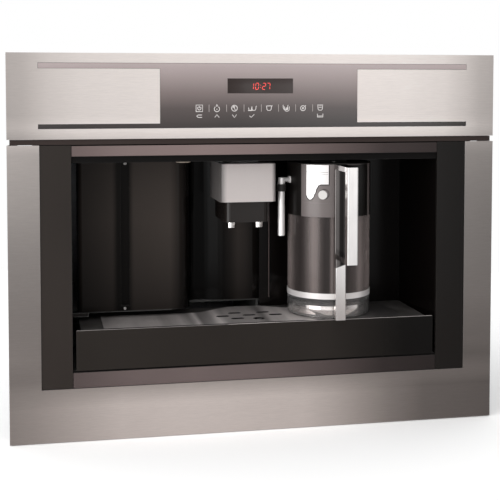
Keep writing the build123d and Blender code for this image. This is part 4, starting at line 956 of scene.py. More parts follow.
FINISHES: dict[str, Finish] = {
    "front_steel": FrontSteel("brushed front steel", (0.64, 0.59, 0.565), FRONT_PAINTED_REFLECTION, 0.3),
    "housing_sheet": Spangle("galvanised sheet", (0.48, 0.49, 0.5), (0.33, 0.34, 0.35)),
    "runner_steel": Spangle("zinc plated runner", (0.55, 0.54, 0.5), (0.4, 0.4, 0.38), scale=110.0),
    "screw_steel": BrushedSteel("screw steel", (0.3, 0.29, 0.285), roughness=0.28, stretch=(900.0, 900.0, 60.0)),
    "control_glass": PrintedGlass("printed touch glass", (0.3683, 0.4443), GLASS_TONES),
    "display_board": MatteMoulding("board lacquer", (0.02, 0.12, 0.05), 0.35, 300.0, 0.2),
    "border_gloss": GlossMoulding(
        "side border gloss", (0.024, 0.019, 0.0165), (0.022, 0.0175, 0.015), 0.16, 0.2, across=BORDER_PAINTED_REFLECTION
    ),
    # Painted reflection on the cross strips: lighter upwards and in bands across.
    "strip_gloss": GlossMoulding(
        "cross strip gloss", (0.118, 0.09, 0.087), (0.19, 0.142, 0.136), 0.2, 0.15, across=STRIP_PAINTED_REFLECTION
    ),
    "tray_gloss": GlossMoulding(
        "tray front gloss", (0.0165, 0.0135, 0.0115), (0.0165, 0.0135, 0.0115), 0.14, 0.17, across=TRAY_PAINTED_REFLECTION
    ),
    # Painted light on the door: lighter upwards, with bands of painted light and shade across.
    "door_gloss": GlossMoulding(
        "door gloss", (0.006, 0.005, 0.0045), (0.035, 0.0285, 0.025), 0.12, 0.08,
        levels=(0.1, 0.25), sides=(-0.215, 0.022), across=DOOR_PAINTED_LIGHT_AND_SHADE,
    ),
    "liner_gloss": GlossMoulding("niche liner gloss", (0.003, 0.0022, 0.002), (0.003, 0.0022, 0.002), 0.15, 0.1),
    "carrier_black": MatteMoulding("carrier black", (0.003, 0.0024, 0.0022), 0.5, specular=0.12),
    "tray_black": MatteMoulding("tray black", (0.01, 0.008, 0.0075), 0.4),
    "float_grey": MatteMoulding("float grey", (0.3, 0.29, 0.28), 0.5),
    "plate_chrome": SlottedChrome(
        "drip plate chrome", (0.85, 0.78, 0.76), (0.6, 0.55, 0.54), 0.34,
        streak=(16.0, 3.0, 3.0), waves=0.06, across=PLATE_PAINTED_REFLECTION, metal=0.5,
    ),
    "spout_silver": SatinPaint("spout silver", (0.65, 0.595, 0.58), 0.5, 0.5, across=CAP_PAINTED_SHADE),
    "spout_black": GlossMoulding("spout black", (0.010, 0.008, 0.007), (0.014, 0.011, 0.01), 0.16, 0.3),
    "chrome": Chrome("bright chrome", (0.9, 0.87, 0.855), (0.78, 0.745, 0.73)),
    "jug_glass": ClearMoulding(
        "smoky jug", (0.12, 0.1, 0.096), (0.085, 0.072, 0.068), 0.55, 0.13, ior=1.3, across=JUG_PAINTED_REFLECTION
    ),
    "jug_clear": ClearMoulding("clear base", (0.95, 0.935, 0.925), (0.9, 0.88, 0.87), 0.95),
    "lid_black": MatteMoulding("lid black", (0.005, 0.004, 0.0035), 0.35, 1200.0, 0.2, 0.25),
    "lid_satin": SatinPaint("lid satin", (0.135, 0.113, 0.109), 0.2, 0.36),
    "button_white": MatteMoulding("button white", (0.62, 0.6, 0.58), 0.4, 1200.0, 0.2),
    "rubber_black": MatteMoulding("rubber black", (0.016, 0.014, 0.013), 0.65, 700.0, 0.5),
    "tank_clear": ClearMoulding("tank clear", (0.74, 0.79, 0.82), (0.66, 0.72, 0.76), 0.92, 0.08),
    "shelf_grey": MatteMoulding("shelf grey", (0.12, 0.118, 0.115), 0.5),
    "grounds_dark": MatteMoulding("grounds bin", (0.035, 0.028, 0.024), 0.45),
    "brew_plastic": MatteMoulding("brewing frame", (0.06, 0.07, 0.085), 0.5, 600.0, 0.45),
    "spindle_steel": BrushedSteel("spindle steel", (0.55, 0.54, 0.53), roughness=0.25, stretch=(40.0, 40.0, 2400.0)),
    "hopper_smoke": ClearMoulding("hopper smoke", (0.34, 0.27, 0.22), (0.26, 0.2, 0.16), 0.85, 0.05),
    "motor_steel": BrushedSteel("motor can", (0.42, 0.43, 0.44), roughness=0.38, stretch=(1500.0, 1500.0, 30.0)),
    "boiler_metal": BrushedSteel("boiler casting", (0.5, 0.5, 0.49), roughness=0.5, stretch=(420.0, 420.0, 420.0)),
    "hose_silicone": MatteMoulding("silicone hose", (0.55, 0.53, 0.5), 0.45, 500.0, 0.2),
    "inlet_black": MatteMoulding("inlet black", (0.02, 0.02, 0.02), 0.5),
    "switch_black": MatteMoulding("switch black", (0.025, 0.024, 0.023), 0.3, 1300.0, 0.15),
    "catch_black": MatteMoulding("catch black", (0.02, 0.018, 0.017), 0.45),
    "light_lens": Glow("cup light lens", (0.3, 0.25, 0.2), 0.12),
}
OWN_FINISHES: dict[str, Finish] = {
    "jug_handle": HandleChrome("handle chrome", (0.82, 0.795, 0.785), (0.7, 0.675, 0.665), 0.12),
    "jug_band": SatinPaint("band chrome", (0.8, 0.765, 0.755), 0.35, 0.3),
    "front_carrier": MatteMoulding("carrier lip", (0.036, 0.026, 0.0235), 0.5, specular=0.12),
    "door_hinge_pin": BrushedSteel("black plated pin", (0.03, 0.027, 0.026), roughness=0.4),
    "milk_spout": SatinPaint("milk tube chrome", (0.93, 0.9, 0.89), 0.45, 0.22),
}
INK = MatteMoulding("printed light ink", (0.74, 0.7, 0.685), 0.4, 2000.0, 0.1)
DIM_INK = MatteMoulding("printed dim ink", (0.34, 0.3, 0.29), 0.4, 2000.0, 0.1)
# Dark joints and print; on the drain slots' rims and the screws' drive crosses it is painted shade.
DARK_LINE_AND_SHADE = MatteMoulding("dark joint line and painted shade", (0.022, 0.018, 0.017), 0.5, 1500.0, 0.1)
DIGIT = Glow("red display segment", (0.9, 0.07, 0.06), 0.8)
INLAY = SatinPaint("lid inlay satin", (0.85, 0.82, 0.81), 0.45, 0.3)
WINDOW = GlossMoulding("display window", (0.034, 0.025, 0.023), (0.04, 0.03, 0.028), 0.2, 0.45, (0.408, 0.427))


def dress_nodes() -> None:
    """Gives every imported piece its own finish, or else its slot's."""
    slots = {row["node"]: row["material_slot"] for row in frame["record"]["subparts"]}
    for name, node in frame["nodes"].items():
        finish = OWN_FINISHES.get(name) or FINISHES[slots[name]]
        for holder in node.material_slots:
            holder.material = finish.material()
        log.info("packed piece %s: %s", name, finish.name)


# ---------------------------------------------------------------- modelling by hand
def faces_front(face: bmesh.types.BMFace) -> bool:
    """Tells whether a face looks to the front."""
    return face.normal.y < -0.9


def faces_up(face: bmesh.types.BMFace) -> bool:
    """Tells whether a face looks up."""
    return face.normal.z > 0.9


def is_level(face: bmesh.types.BMFace) -> bool:
    """Tells whether a face looks up or down."""
    return abs(face.normal.z) > 0.9


class Bench:
    """Blender's own modelling tools, used as by hand. Sizes are in millimetres."""

    @staticmethod
    def take(*pieces: Piece) -> None:
        """Leaves edit mode, then selects only these pieces and makes the first one active.

        Args:
            pieces: The pieces.
        """
        if bpy.context.object and bpy.context.object.mode != "OBJECT":
            bpy.ops.object.mode_set(mode="OBJECT")
        bpy.ops.object.select_all(action="DESELECT")
        for piece in pieces:
            piece.select_set(True)
        if pieces:
            bpy.context.view_layer.objects.active = pieces[0]

    @staticmethod
    def settle(name: str) -> Piece:
        """Names the new primitive and puts its place into its mesh.

        Args:
            name: The piece's name.

        Returns:
            The piece.
        """
        piece = bpy.context.object
        piece.name = piece.data.name = name
        bpy.ops.object.transform_apply(location=True, rotation=True, scale=True)
        return piece

    @classmethod
    def block(cls, name: str, low: Point, high: Point) -> Piece:
        """Adds a block between two corners.

        Args:
            name: The piece's name.
            low: The lowest corner.
            high: The highest corner.

        Returns:
            The block.
        """
        cls.take()
        span = (Vector(high) - Vector(low)) / 1000
        bpy.ops.mesh.primitive_cube_add(size=1.0, location=(Vector(high) + Vector(low)) / 2000, scale=span)
        return cls.settle(name)

    @classmethod
    def rod(
        cls, name: str, centre: Point, radius: float, length: float, axis: Axis = Axis.Z, sides: int = 32
    ) -> Piece:
        """Adds a round bar.

        Args:
            name: The piece's name.
            centre: The middle of the bar.
            radius: Its radius.
            length: Its length.
            axis: The way it points.
            sides: How many flat sides it has.

        Returns:
            The bar.
        """
        cls.take()
        bpy.ops.mesh.primitive_cylinder_add(
            vertices=sides, radius=radius / 1000, depth=length / 1000,
            location=Vector(centre) / 1000, rotation=axis.value,
        )  # fmt: skip
        return cls.settle(name)

    @classmethod
    def pick(cls, piece: Piece, wanted: FaceTest) -> None:
        """Enters edit mode with only the wanted faces selected.

        Args:
            piece: The piece to edit.
            wanted: Tells whether a face is wanted.
        """
        cls.take(piece)
        bpy.ops.object.mode_set(mode="EDIT")
        bpy.ops.mesh.select_mode(type="FACE")
        bpy.ops.mesh.select_all(action="DESELECT")
        mesh = bmesh.from_edit_mesh(piece.data)
        for face in mesh.faces:
            face.select_set(wanted(face))
        bmesh.update_edit_mesh(piece.data)

    @classmethod
    def dish(cls, piece: Piece, wanted: FaceTest, border: float, move: Point) -> None:
        """Insets faces and moves what is inside the border.

        Args:
            piece: The piece to edit.
            wanted: Tells whether a face is wanted.
            border: The border's width.
            move: How far the inner faces move.
        """
        cls.pick(piece, wanted)
        bpy.ops.mesh.inset(thickness=border / 1000, depth=0.0)
        bpy.ops.mesh.extrude_region_move(TRANSFORM_OT_translate={"value": Vector(move) / 1000})
        bpy.ops.object.mode_set(mode="OBJECT")

    @classmethod
    def modify(cls, piece: Piece, kind: str, **settings: object) -> None:
        """Adds a modifier and applies it.

        Args:
            piece: The piece.
            kind: The modifier's type.
            settings: Its properties.
        """
        cls.take(piece)
        modifier = piece.modifiers.new(kind, kind)
        for name, value in settings.items():
            setattr(modifier, name, value)
        bpy.ops.object.modifier_apply(modifier=modifier.name)

    @classmethod
    def round_edges(cls, piece: Piece, width: float) -> None:
        """Bevels the sharp edges to a width."""
        sharp = math.radians(40)
        cls.modify(piece, "BEVEL", width=width / 1000, segments=2, limit_method="ANGLE", angle_limit=sharp)

    @classmethod
    def tile(
        cls, name: str, corners: tuple[Point, Point], face: FaceTest, border: float, move: Point, rounding: float
    ) -> Piece:
        """Adds a rounded block with one face sunk or raised inside a border.

        Args:
            name: The piece's name.
            corners: Its lowest and highest corner.
            face: Tells the face.
            border: The border's width.
            move: How far the face inside the border moves.
            rounding: The width of the rounded edges.

        Returns:
            The tile.
        """
        piece = cls.block(name, *corners)
        cls.dish(piece, face, border, move)
        cls.round_edges(piece, rounding)
        return piece

    @classmethod
    def stroke(cls, name: str, lines: Sequence[Sequence[Point]], width: float, flat: float = 1.0) -> Piece:
        """Draws lines as thin strokes and makes them one mesh.

        Args:
            name: The piece's name.
            lines: The points of each line.
            width: The strokes' width.
            flat: Share of the width that the strokes are thick along Y.

        Returns:
            The strokes.
        """
        drawing = bpy.data.curves.new(name, "CURVE")
        drawing.dimensions = "3D"
        drawing.bevel_depth = width / 2000
        drawing.bevel_resolution = 2
        drawing.use_fill_caps = True
        for points in lines:
            spline = drawing.splines.new("POLY")
            spline.points.add(len(points) - 1)
            for spot, place in zip(spline.points, points):
                spot.co = (*(Vector(place) / 1000), 1.0)
        piece = bpy.data.objects.new(name, drawing)
        bpy.context.scene.collection.objects.link(piece)
        cls.take(piece)
        bpy.ops.object.convert(target="MESH")
        if flat < 1.0:
            middle = Vector(lines[0][0]) / 1000
            bpy.ops.object.mode_set(mode="EDIT")
            bpy.ops.mesh.select_all(action="SELECT")
            bpy.ops.transform.resize(value=(1.0, flat, 1.0), center_override=middle)
            bpy.ops.object.mode_set(mode="OBJECT")
        return piece

    @classmethod
    def join(cls, name: str, *pieces: Piece) -> Piece:
        """Joins pieces into one mesh.

        Args:
            name: The joined piece's name.
            pieces: The pieces.

        Returns:
            The joined piece.
        """
        cls.take(*pieces)
        bpy.ops.object.join()
        pieces[0].name = pieces[0].data.name = name
        return pieces[0]

    @classmethod
    def repeat(cls, name: str, first: Piece, places: Sequence[Sequence[float]]) -> Piece:
        """Copies a piece, each copy with its own mesh, and joins it with its copies.

        Args:
            name: The joined piece's name.
            first: The piece.
            places: Its own place, and then each copy's.

        Returns:
            The joined piece.
        """
        twins = []
        for place in places[1:]:
            twin = first.copy()
            twin.data = first.data.copy()
            bpy.context.scene.collection.objects.link(twin)
            twin.data.transform(Matrix.Translation((Vector(place) - Vector(places[0])) / 1000))
            twins.append(twin)
        return cls.join(name, first, *twins)

    @classmethod
    def finish(cls, piece: Piece, finish: Finish, body: Body, slot: str) -> Piece:
        """Smooths, dresses and fastens a finished piece.

        Args:
            piece: The piece.
            finish: Its finish.
            body: The body it rides on.
            slot: The record's slot; not used.

        Returns:
            The piece.
        """
        cls.take(piece)
        bpy.ops.object.shade_smooth_by_angle(angle=math.radians(35))
        piece.data.materials.clear()
        piece.data.materials.append(finish.material())
        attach(piece, body.value)
        cls.take()
        return piece


def arc(centre: Span, radius: float, start: float = 0.0, end: float = 360.0) -> list[Span]:
    """Gives the points of an arc in a symbol's own plane.

    Args:
        centre: The arc's centre.
        radius: Its radius.
        start: Its first angle in degrees.
        end: Its last angle in degrees.

    Returns:
        The points.
    """
    steps = max(6, int(abs(end - start) / 18))
    turns = [math.radians(start + (end - start) * i / steps) for i in range(steps + 1)]
    return [(centre[0] + radius * math.cos(t), centre[1] + radius * math.sin(t)) for t in turns]


# ---------------------------------------------------------------- the touch panel
@dataclass
class TouchPanel:
    """The display window, its lit time and the printed touch symbols."""

    face: float = -207.8
    window: tuple[Span, Span] = ((-40.0, 40.0), (408.9, 426.7))
    fields: int = 8
    pitch: float = 21.1
    row: float = 391.3
    low_row: float = 382.0
    bar: tuple[Span, Span] = ((1.1, -4.3), (1.1, 4.3))
    digit_low: float = 413.6
    digit_size: Span = (3.6, 7.4)
    digit_ends: Span = (0.4, 0.5)
    slant: float = 0.1
    time: tuple[tuple[str, float], ...] = (("1", -12.4), ("0", -6.2), (":", -0.2), ("2", 2.2), ("7", 7.6))
    segments: dict[str, str] = field(default_factory=lambda: {"0": "abcdef", "1": "bc", "2": "abged", "7": "abc"})

    def flat(self, lines: Sequence[Sequence[Span]], x: float, z: float) -> list[list[Point]]:
        """Moves a symbol's lines from its own plane onto the glass."""
        return [[(x + u, self.face - 0.02, z + v) for u, v in points] for points in lines]

    def build_window(self) -> Piece:
        """Makes the sunk display window with its fine rim.

        Returns:
            The finished piece.
        """
        (left, right), (low, high) = self.window
        corners = ((left, self.face - 0.12, low), (right, self.face + 0.4, high))
        piece = Bench.tile("display_window", corners, faces_front, border=0.5, move=(0.0, 0.07, 0.0), rounding=0.08)
        return Bench.finish(piece, WINDOW, Body.MACHINE, "control_glass")

    def digit_lines(self, sign: str, left: float) -> list[list[Point]]:
        """Gives the lit segments of one sign.

        Args:
            sign: The sign.
            left: Its left edge.

        Returns:
            The segments' lines.
        """
        wide, tall = self.digit_size
        side, end = self.digit_ends
        half = tall / 2
        ends = {
            "a": ((side, tall), (wide - side, tall)), "g": ((side, half), (wide - side, half)),
            "d": ((side, 0.0), (wide - side, 0.0)), "f": ((0.0, half + end), (0.0, tall - end)),
            "b": ((wide, half + end), (wide, tall - end)), "e": ((0.0, end), (0.0, half - end)),
            "c": ((wide, end), (wide, half - end)),
        }  # fmt: skip
        if sign == ":":
            pairs = [((0.0, 0.28 * tall), (0.0, 0.36 * tall)), ((0.0, 0.66 * tall), (0.0, 0.74 * tall))]
        else:
            pairs = [ends[key] for key in self.segments[sign]]
        return [[(left + u + self.slant * v, self.face - 0.06, self.digit_low + v) for u, v in pair] for pair in pairs]

    def build_digits(self) -> Piece:
        """Makes the lit time.

        Returns:
            The finished piece.
        """
        lines = [line for sign, left in self.time for line in self.digit_lines(sign, left)]
        piece = Bench.stroke("display_digits", lines, width=0.62, flat=0.15)
        return Bench.finish(piece, DIGIT, Body.MACHINE, "control_glass")

    def symbols(self) -> list[list[list[Span]]]:
        """Gives the upper row's touch symbols.

        Returns:
            Each symbol's lines, in its own plane.
        """
        cup = [(-3.0, 2.6), (-2.6, -1.6), (-1.4, -2.8), (1.4, -2.8), (2.6, -1.6), (3.0, 2.6)]
        small = [(0.62 * u - 2.0, 0.62 * v - 0.9) for u, v in cup]
        large = [(0.86 * u + 2.6, 0.86 * v - 0.2) for u, v in cup]
        square = [(-3.9, -3.9), (3.9, -3.9), (3.9, 3.9), (-3.9, 3.9), (-3.9, -3.9)]
        tip = [(-0.9, 3.0), (0, 4.6), (0.9, 3.0), (0, 2.2), (-0.9, 3.0)]
        return [
            [square, arc((0, 0), 2.0, 125, 415), [(0, 0.2), (0, 2.6)]],
            [arc((0, -0.9), 3.2, 125, 415), tip, [(0, -0.4), (0, -2.0)]],
            [arc((0, 0), 3.5), [(-1.3, 2.3), (-0.2, 0.9), (0.4, -0.7), (1.2, -2.4)], arc((0, 0), 1.9, 60, 180)],
            [small, [(-4.6, -2.9), (0.8, -2.9)], large, [(5.2, 1.6), (5.9, 2.6)]],
            [cup, [(3.0, 1.9), (4.1, 3.0)], [(-3.0, 2.6), (3.0, 2.6)]],
            [[(u - 0.9, v + 1.1) for u, v in cup], [(u + 0.9, v - 0.9) for u, v in cup], arc((0.9, -0.9), 1.1)],
            [arc((-0.3, -0.3), 3.0), arc((-0.3, -0.3), 0.9), [(1.9, 1.9), (3.3, 3.0)]],
            [cup, [(-1.8, 0.8), (1.8, 0.8)], [(-3.6, 3.4), (3.6, 3.4)]],
        ]

    def low_symbols(self) -> dict[int, list[list[Span]]]:
        """Gives the lower row's touch symbols.

        Returns:
            Field number to the symbol's lines, in its own plane.
        """
        return {
            0: [[(3.2, 1.4), (-1.6, 1.4), (-3.2, 0), (-1.6, -1.4), (3.2, -1.4)]],
            1: [[(-2.6, -1.6), (0, 1.8), (2.6, -1.6)]],
            2: [[(-2.6, 1.6), (0, -1.8), (2.6, 1.6)]],
            3: [[(-2.8, 0.1), (-0.8, -1.7), (3.0, 1.9)]],
            7: [[(-3.4, 2.2), (-3.4, -1.9), (3.4, -1.9), (3.4, 2.2)], [(-3.4, -0.6), (3.4, -0.6)]],
        }

    def build_symbols(self) -> Piece:
        """Makes the two rows of printed symbols.

        Returns:
            The finished piece.
        """
        middle = (self.fields - 1) / 2
        lines = []
        for symbols, z in ((dict(enumerate(self.symbols())), self.row), (self.low_symbols(), self.low_row)):
            for index, symbol in symbols.items():
                lines += self.flat(symbol, (index - middle) * self.pitch, z)
        piece = Bench.stroke("touch_symbols", lines, width=0.75, flat=0.12)
        return Bench.finish(piece, INK, Body.MACHINE, "control_glass")

    def build_bars(self) -> Piece:
        """Makes the fine bars between the touch fields.

        Returns:
            The finished piece.
        """
        lines = []
        for index in range(self.fields - 1):
            lines += self.flat([self.bar], (index + 1 - self.fields / 2) * self.pitch, self.row)
        piece = Bench.stroke("touch_bars", lines, width=0.7, flat=0.12)
        return Bench.finish(piece, DIM_INK, Body.MACHINE, "control_glass")

    def build(self) -> list[Piece]:
        """Builds the panel's pieces and returns them."""
        return [self.build_window(), self.build_digits(), self.build_symbols(), self.build_bars()]


# ---------------------------------------------------------------- the milk container's lid
@dataclass
class MilkLid:
    """What is on the lid's round front: satin inlay, joint lines, button rim and side cover.

    The dial's pointer, and a bright hoop in the clear base as painted reflection, belong here too.
    """

    centre: Span = (100.0, -153.0)
    face: float = 53.9
    stand: float = 0.02
    inlay: Span = (224.3, 254.6)
    top: float = 321.4
    curve: Bands = (
        (224.3, 283.6), (225.6, 280.6), (228.4, 278.6), (231.3, 278.8), (234.1, 281.2), (236.9, 286.4),
        (239.4, 293.0), (241.6, 296.4), (244.6, 297.5), (270.0, 297.6),
    )  # fmt: skip
    curve_end: float = 245.0
    joint_step: float = 0.45
    joint_rise: tuple[float, ...] = (298.5, 305.0, 312.0, 318.0)
    line_levels: Span = (312.6, 310.0)
    line_stands: Span = (0.06, 0.02)
    button: Span = (248.8, 285.9)
    button_radius: float = 5.9
    cover: tuple[Span, Span] = ((263.0, 316.2), (257.6, 321.6))
    # A chrome hoop in the clear base: painted reflection for the base's bright bands.
    hoop_level: float = 141.0
    hoop_size: Span = (45.6, 11.0)
    pointer: tuple[Point, Point] = ((99.3, -180.5, 323.7), (100.7, -168.0, 324.15))

    def on_plate(self, turn: float, z: float, stand: float) -> Point:
        """Gives a point on the lid's round front.

        Args:
            turn: Its direction from the container's axis in degrees.
            z: Its height.
            stand: How far it stands off the plate.

        Returns:
            The point.
        """
        angle = math.radians(turn)
        reach = self.face + stand
        return (self.centre[0] + reach * math.cos(angle), self.centre[1] + reach * math.sin(angle), z)

    def low_edge(self, turn: float) -> float:
        """Gives the inlay's lower edge.

        Args:
            turn: The direction in degrees.

        Returns:
            Its height there.
        """
        for (a, low), (b, high) in zip(self.curve, self.curve[1:]):
            if turn <= b:
                share = max(0.0, (turn - a) / (b - a))
                share = share * share * (3 - 2 * share) if b < self.curve_end else share
                return low + (high - low) * share
        return self.curve[-1][1]

    def lay_sheet(
        self, name: str, cells: tuple[int, int], turns: Span, low: Callable[[float], float], high: float, thick: float
    ) -> Piece:
        """Lays a grid on the round plate and gives it a thickness.

        Args:
            name: The sheet's name.
            cells: The grid's cells along and up.
            turns: The directions of its two ends in degrees.
            low: Gives its lower edge at a direction.
            high: Its upper edge.
            thick: Its thickness.

        Returns:
            The sheet.
        """
        Bench.take()
        bpy.ops.mesh.primitive_grid_add(x_subdivisions=cells[0], y_subdivisions=cells[1], size=1.0)
        piece = Bench.settle(name)
        start, end = turns
        for vertex in piece.data.vertices:
            turn = start + (end - start) * (vertex.co.x + 0.5)
            z = low(turn) + (high - low(turn)) * (vertex.co.y + 0.5)
            vertex.co = Vector(self.on_plate(turn, z, self.stand)) / 1000
        Bench.modify(piece, "SOLIDIFY", thickness=thick / 1000, offset=1.0)
        return piece

    def build_inlay(self) -> Piece:
        """Makes the satin inlay."""
        piece = self.lay_sheet("lid_inlay", (140, 6), self.inlay, self.low_edge, self.top, thick=0.16)
        return Bench.finish(piece, INLAY, Body.MILK, "lid_satin")

    def build_lines(self) -> Piece:
        """Makes the dark joint under the inlay and the two fine lines across it.

        Returns:
            The finished piece.
        """
        start, end = self.inlay
        count = int((end - start) / self.joint_step) + 2
        turns = [start + self.joint_step * index for index in range(count)]
        joint = [self.on_plate(turn, self.low_edge(turn) - 0.2, self.stand) for turn in turns]
        joint += [self.on_plate(turns[-1] + 0.2, z, self.stand) for z in (*self.joint_rise, self.top)]
        across = [
            [self.on_plate(turn, level, stand) for turn in turns[::6]]
            for level, stand in zip(self.line_levels, self.line_stands)
        ]
        thick = Bench.stroke("joint", [joint], width=1.15)
        piece = Bench.join("lid_lines", thick, Bench.stroke("lines", across, width=0.42))
        return Bench.finish(piece, DARK_LINE_AND_SHADE, Body.MILK, "lid_black")

    def build_rim(self) -> Piece:
        """Makes the dark rim round the clean button.

        Returns:
            The finished piece.
        """
        turn, level = self.button
        ring = []
        for step in range(41):
            t = math.tau * step / 40
            side = math.degrees(self.button_radius * math.cos(t) / self.face)
            ring.append(self.on_plate(turn + side, level + self.button_radius * math.sin(t), 0.0))
        piece = Bench.stroke("button_rim", [ring], width=0.7)
        return Bench.finish(piece, DARK_LINE_AND_SHADE, Body.MILK, "lid_black")

    def build_cover(self) -> Piece:
        """Makes the black cover over the front plate's right part.

        Returns:
            The finished piece.
        """
        turns, (low, high) = self.cover
        piece = self.lay_sheet("lid_side_cover", (60, 2), turns, lambda turn: low, high, thick=0.45)
        Bench.round_edges(piece, 0.15)
        return Bench.finish(piece, FINISHES["lid_black"], Body.MILK, "lid_black")

    def build_reflection_hoop(self) -> Piece:
        """Makes the bright hoop in the clear base, a painted reflection that shows through it.

        Returns:
            The finished piece.
        """
        piece = Bench.rod("base_reflection_hoop", (*self.centre, self.hoop_level), *self.hoop_size, sides=96)
        Bench.pick(piece, is_level)
        bpy.ops.mesh.delete(type="FACE")
        bpy.ops.object.mode_set(mode="OBJECT")
        Bench.modify(piece, "SOLIDIFY", thickness=0.0006, offset=-1.0)
        Bench.round_edges(piece, 0.15)
        return Bench.finish(piece, FINISHES["chrome"], Body.MILK, "chrome")

    def build_pointer(self) -> Piece:
        """Makes the froth dial's pointer."""
        piece = Bench.tile("dial_pointer", self.pointer, faces_up, border=0.25, move=(0.0, 0.0, 0.06), rounding=0.15)
        return Bench.finish(piece, INK, Body.DIAL, "lid_black")

    def build(self) -> list[Piece]:
        """Builds the lid's pieces and returns them."""
        front = [self.build_inlay(), self.build_lines(), self.build_rim(), self.build_cover()]
        return [*front, self.build_reflection_hoop(), self.build_pointer()]


# ---------------------------------------------------------------- door and tray
@dataclass
class DoorTrim:
    """A thin light strip on the jamb beside the service door, a painted highlight of the jamb's edge, and the screws at
    the groove's ends.
    """

    # A painted highlight: the light line that the jamb's edge catches.
    edge: tuple[Point, Point] = ((34.7, -95.8, 141.0), (35.6, -95.2, 324.0))
    screws: tuple[Point, Point] = ((-156.2, -143.0, 322.6), (-157.4, -143.0, 143.0))
    screw_size: Span = (1.7, 1.4)
    drive_area: float = 5e-6

    def build_edge_highlight(self) -> Piece:
        """Makes the thin light strip, a painted highlight."""
        piece = Bench.tile("door_edge_highlight", self.edge, faces_front, border=0.2, move=(0.0, -0.1, 0.0), rounding=0.12)
        return Bench.finish(piece, FINISHES["strip_gloss"], Body.MACHINE, "strip_gloss")

    def build_screws(self) -> Piece:
        """Makes one domed screw and its copy at the groove's other end.

        Returns:
            The finished piece.
        """
        first = Bench.rod("groove_screw", self.screws[0], *self.screw_size, Axis.Y, 24)
        Bench.dish(first, faces_front, border=0.5, move=(0.0, -0.35, 0.0))
        Bench.dish(
            first, lambda f: faces_front(f) and f.calc_area() < self.drive_area, border=0.35, move=(0.0, 0.3, 0.0)
        )
        Bench.round_edges(first, 0.15)
        piece = Bench.repeat("groove_screws", first, self.screws)
        return Bench.finish(piece, FINISHES["screw_steel"], Body.DOOR, "door_gloss")

    def build(self) -> list[Piece]:
        """Builds the door's pieces and returns them."""
        return [self.build_edge_highlight(), self.build_screws()]


@dataclass
class TrayTrim:
    """A bright strip on the drip tray's top edge, a painted highlight, and dark rims round the drain slots, painted
    shade of the holes.
    """

    # A painted highlight: the light line along the tray front's top edge.
    lip: tuple[Point, Point] = ((-219.2, -206.8, 131.3), (219.2, -206.0, 131.75))
    rim_level: float = 131.22
    rim_width: float = 0.9
    rim_height: float = 0.36
    slot_radius: float = 3.0
    slot_reach: float = 4.5
    slots: tuple[Span, ...] = (
        (-19.5, -142.0), (16.5, -143.0), (-3.5, -157.0), (-37.5, -158.0), (29.5, -160.0), (-21.5, -174.0),
    )  # fmt: skip
    float_hole: Span = (4.5, -179.0)
    float_radius: float = 6.4

    def build_highlight_strip(self) -> Piece:
        """Makes the thin bright strip, a painted highlight of the tray's top edge."""
        piece = Bench.tile("tray_highlight_strip", self.lip, faces_up, border=0.15, move=(0.0, 0.0, -0.06), rounding=0.12)
        return Bench.finish(piece, FINISHES["spout_silver"], Body.TRAY, "tray_gloss")

    def ring(self, name: str, place: Span, radius: float, reach: float) -> Piece:
        """Makes a raised rim round a slot or a hole.

        Args:
            name: The rim's name.
            place: The hole's centre.
            radius: The hole's end radius.
            reach: Half the distance between its end centres.

        Returns:
            The rim.
        """
        piece = Bench.rod(name, (*place, self.rim_level), radius + self.rim_width, self.rim_height, sides=28)
        for vertex in piece.data.vertices:
            away = vertex.co.x - place[0] / 1000
            if abs(away) > 1e-6:
                vertex.co.x += math.copysign(reach / 1000, away)
        Bench.pick(piece, is_level)
        bpy.ops.mesh.inset(thickness=self.rim_width / 1000, depth=0.0)
        bpy.ops.mesh.delete(type="FACE")
        bpy.ops.mesh.select_all(action="DESELECT")
        mesh = bmesh.from_edit_mesh(piece.data)
        bpy.ops.mesh.select_mode(type="EDGE")
        for edge in mesh.edges:
            edge.select_set(edge.is_boundary)
        bmesh.update_edit_mesh(piece.data)
        bpy.ops.mesh.bridge_edge_loops()
        bpy.ops.mesh.select_all(action="SELECT")
        bpy.ops.mesh.normals_make_consistent(inside=False)
        bpy.ops.object.mode_set(mode="OBJECT")
        Bench.round_edges(piece, 0.12)
        return piece

    def build_shade_rims(self) -> Piece:
        """Makes one dark slot rim, painted shade of the slot, copies it to every slot and adds the float hole's rim.

        Returns:
            The finished piece.
        """
        first = self.ring("slot_rim", self.slots[0], self.slot_radius, self.slot_reach)
        rims = Bench.repeat("slot_rims", first, [(*place, 0.0) for place in self.slots])
        # Painted shade: dark rims make the drain slots and the float hole look dark inside.
        piece = Bench.join("drain_shade_rims", rims, self.ring("float_rim", self.float_hole, self.float_radius, 0.0))
        return Bench.finish(piece, DARK_LINE_AND_SHADE, Body.TRAY, "plate_chrome")

    def build(self) -> list[Piece]:
        """Builds the tray's pieces and returns them."""
        return [self.build_highlight_strip(), self.build_shade_rims()]


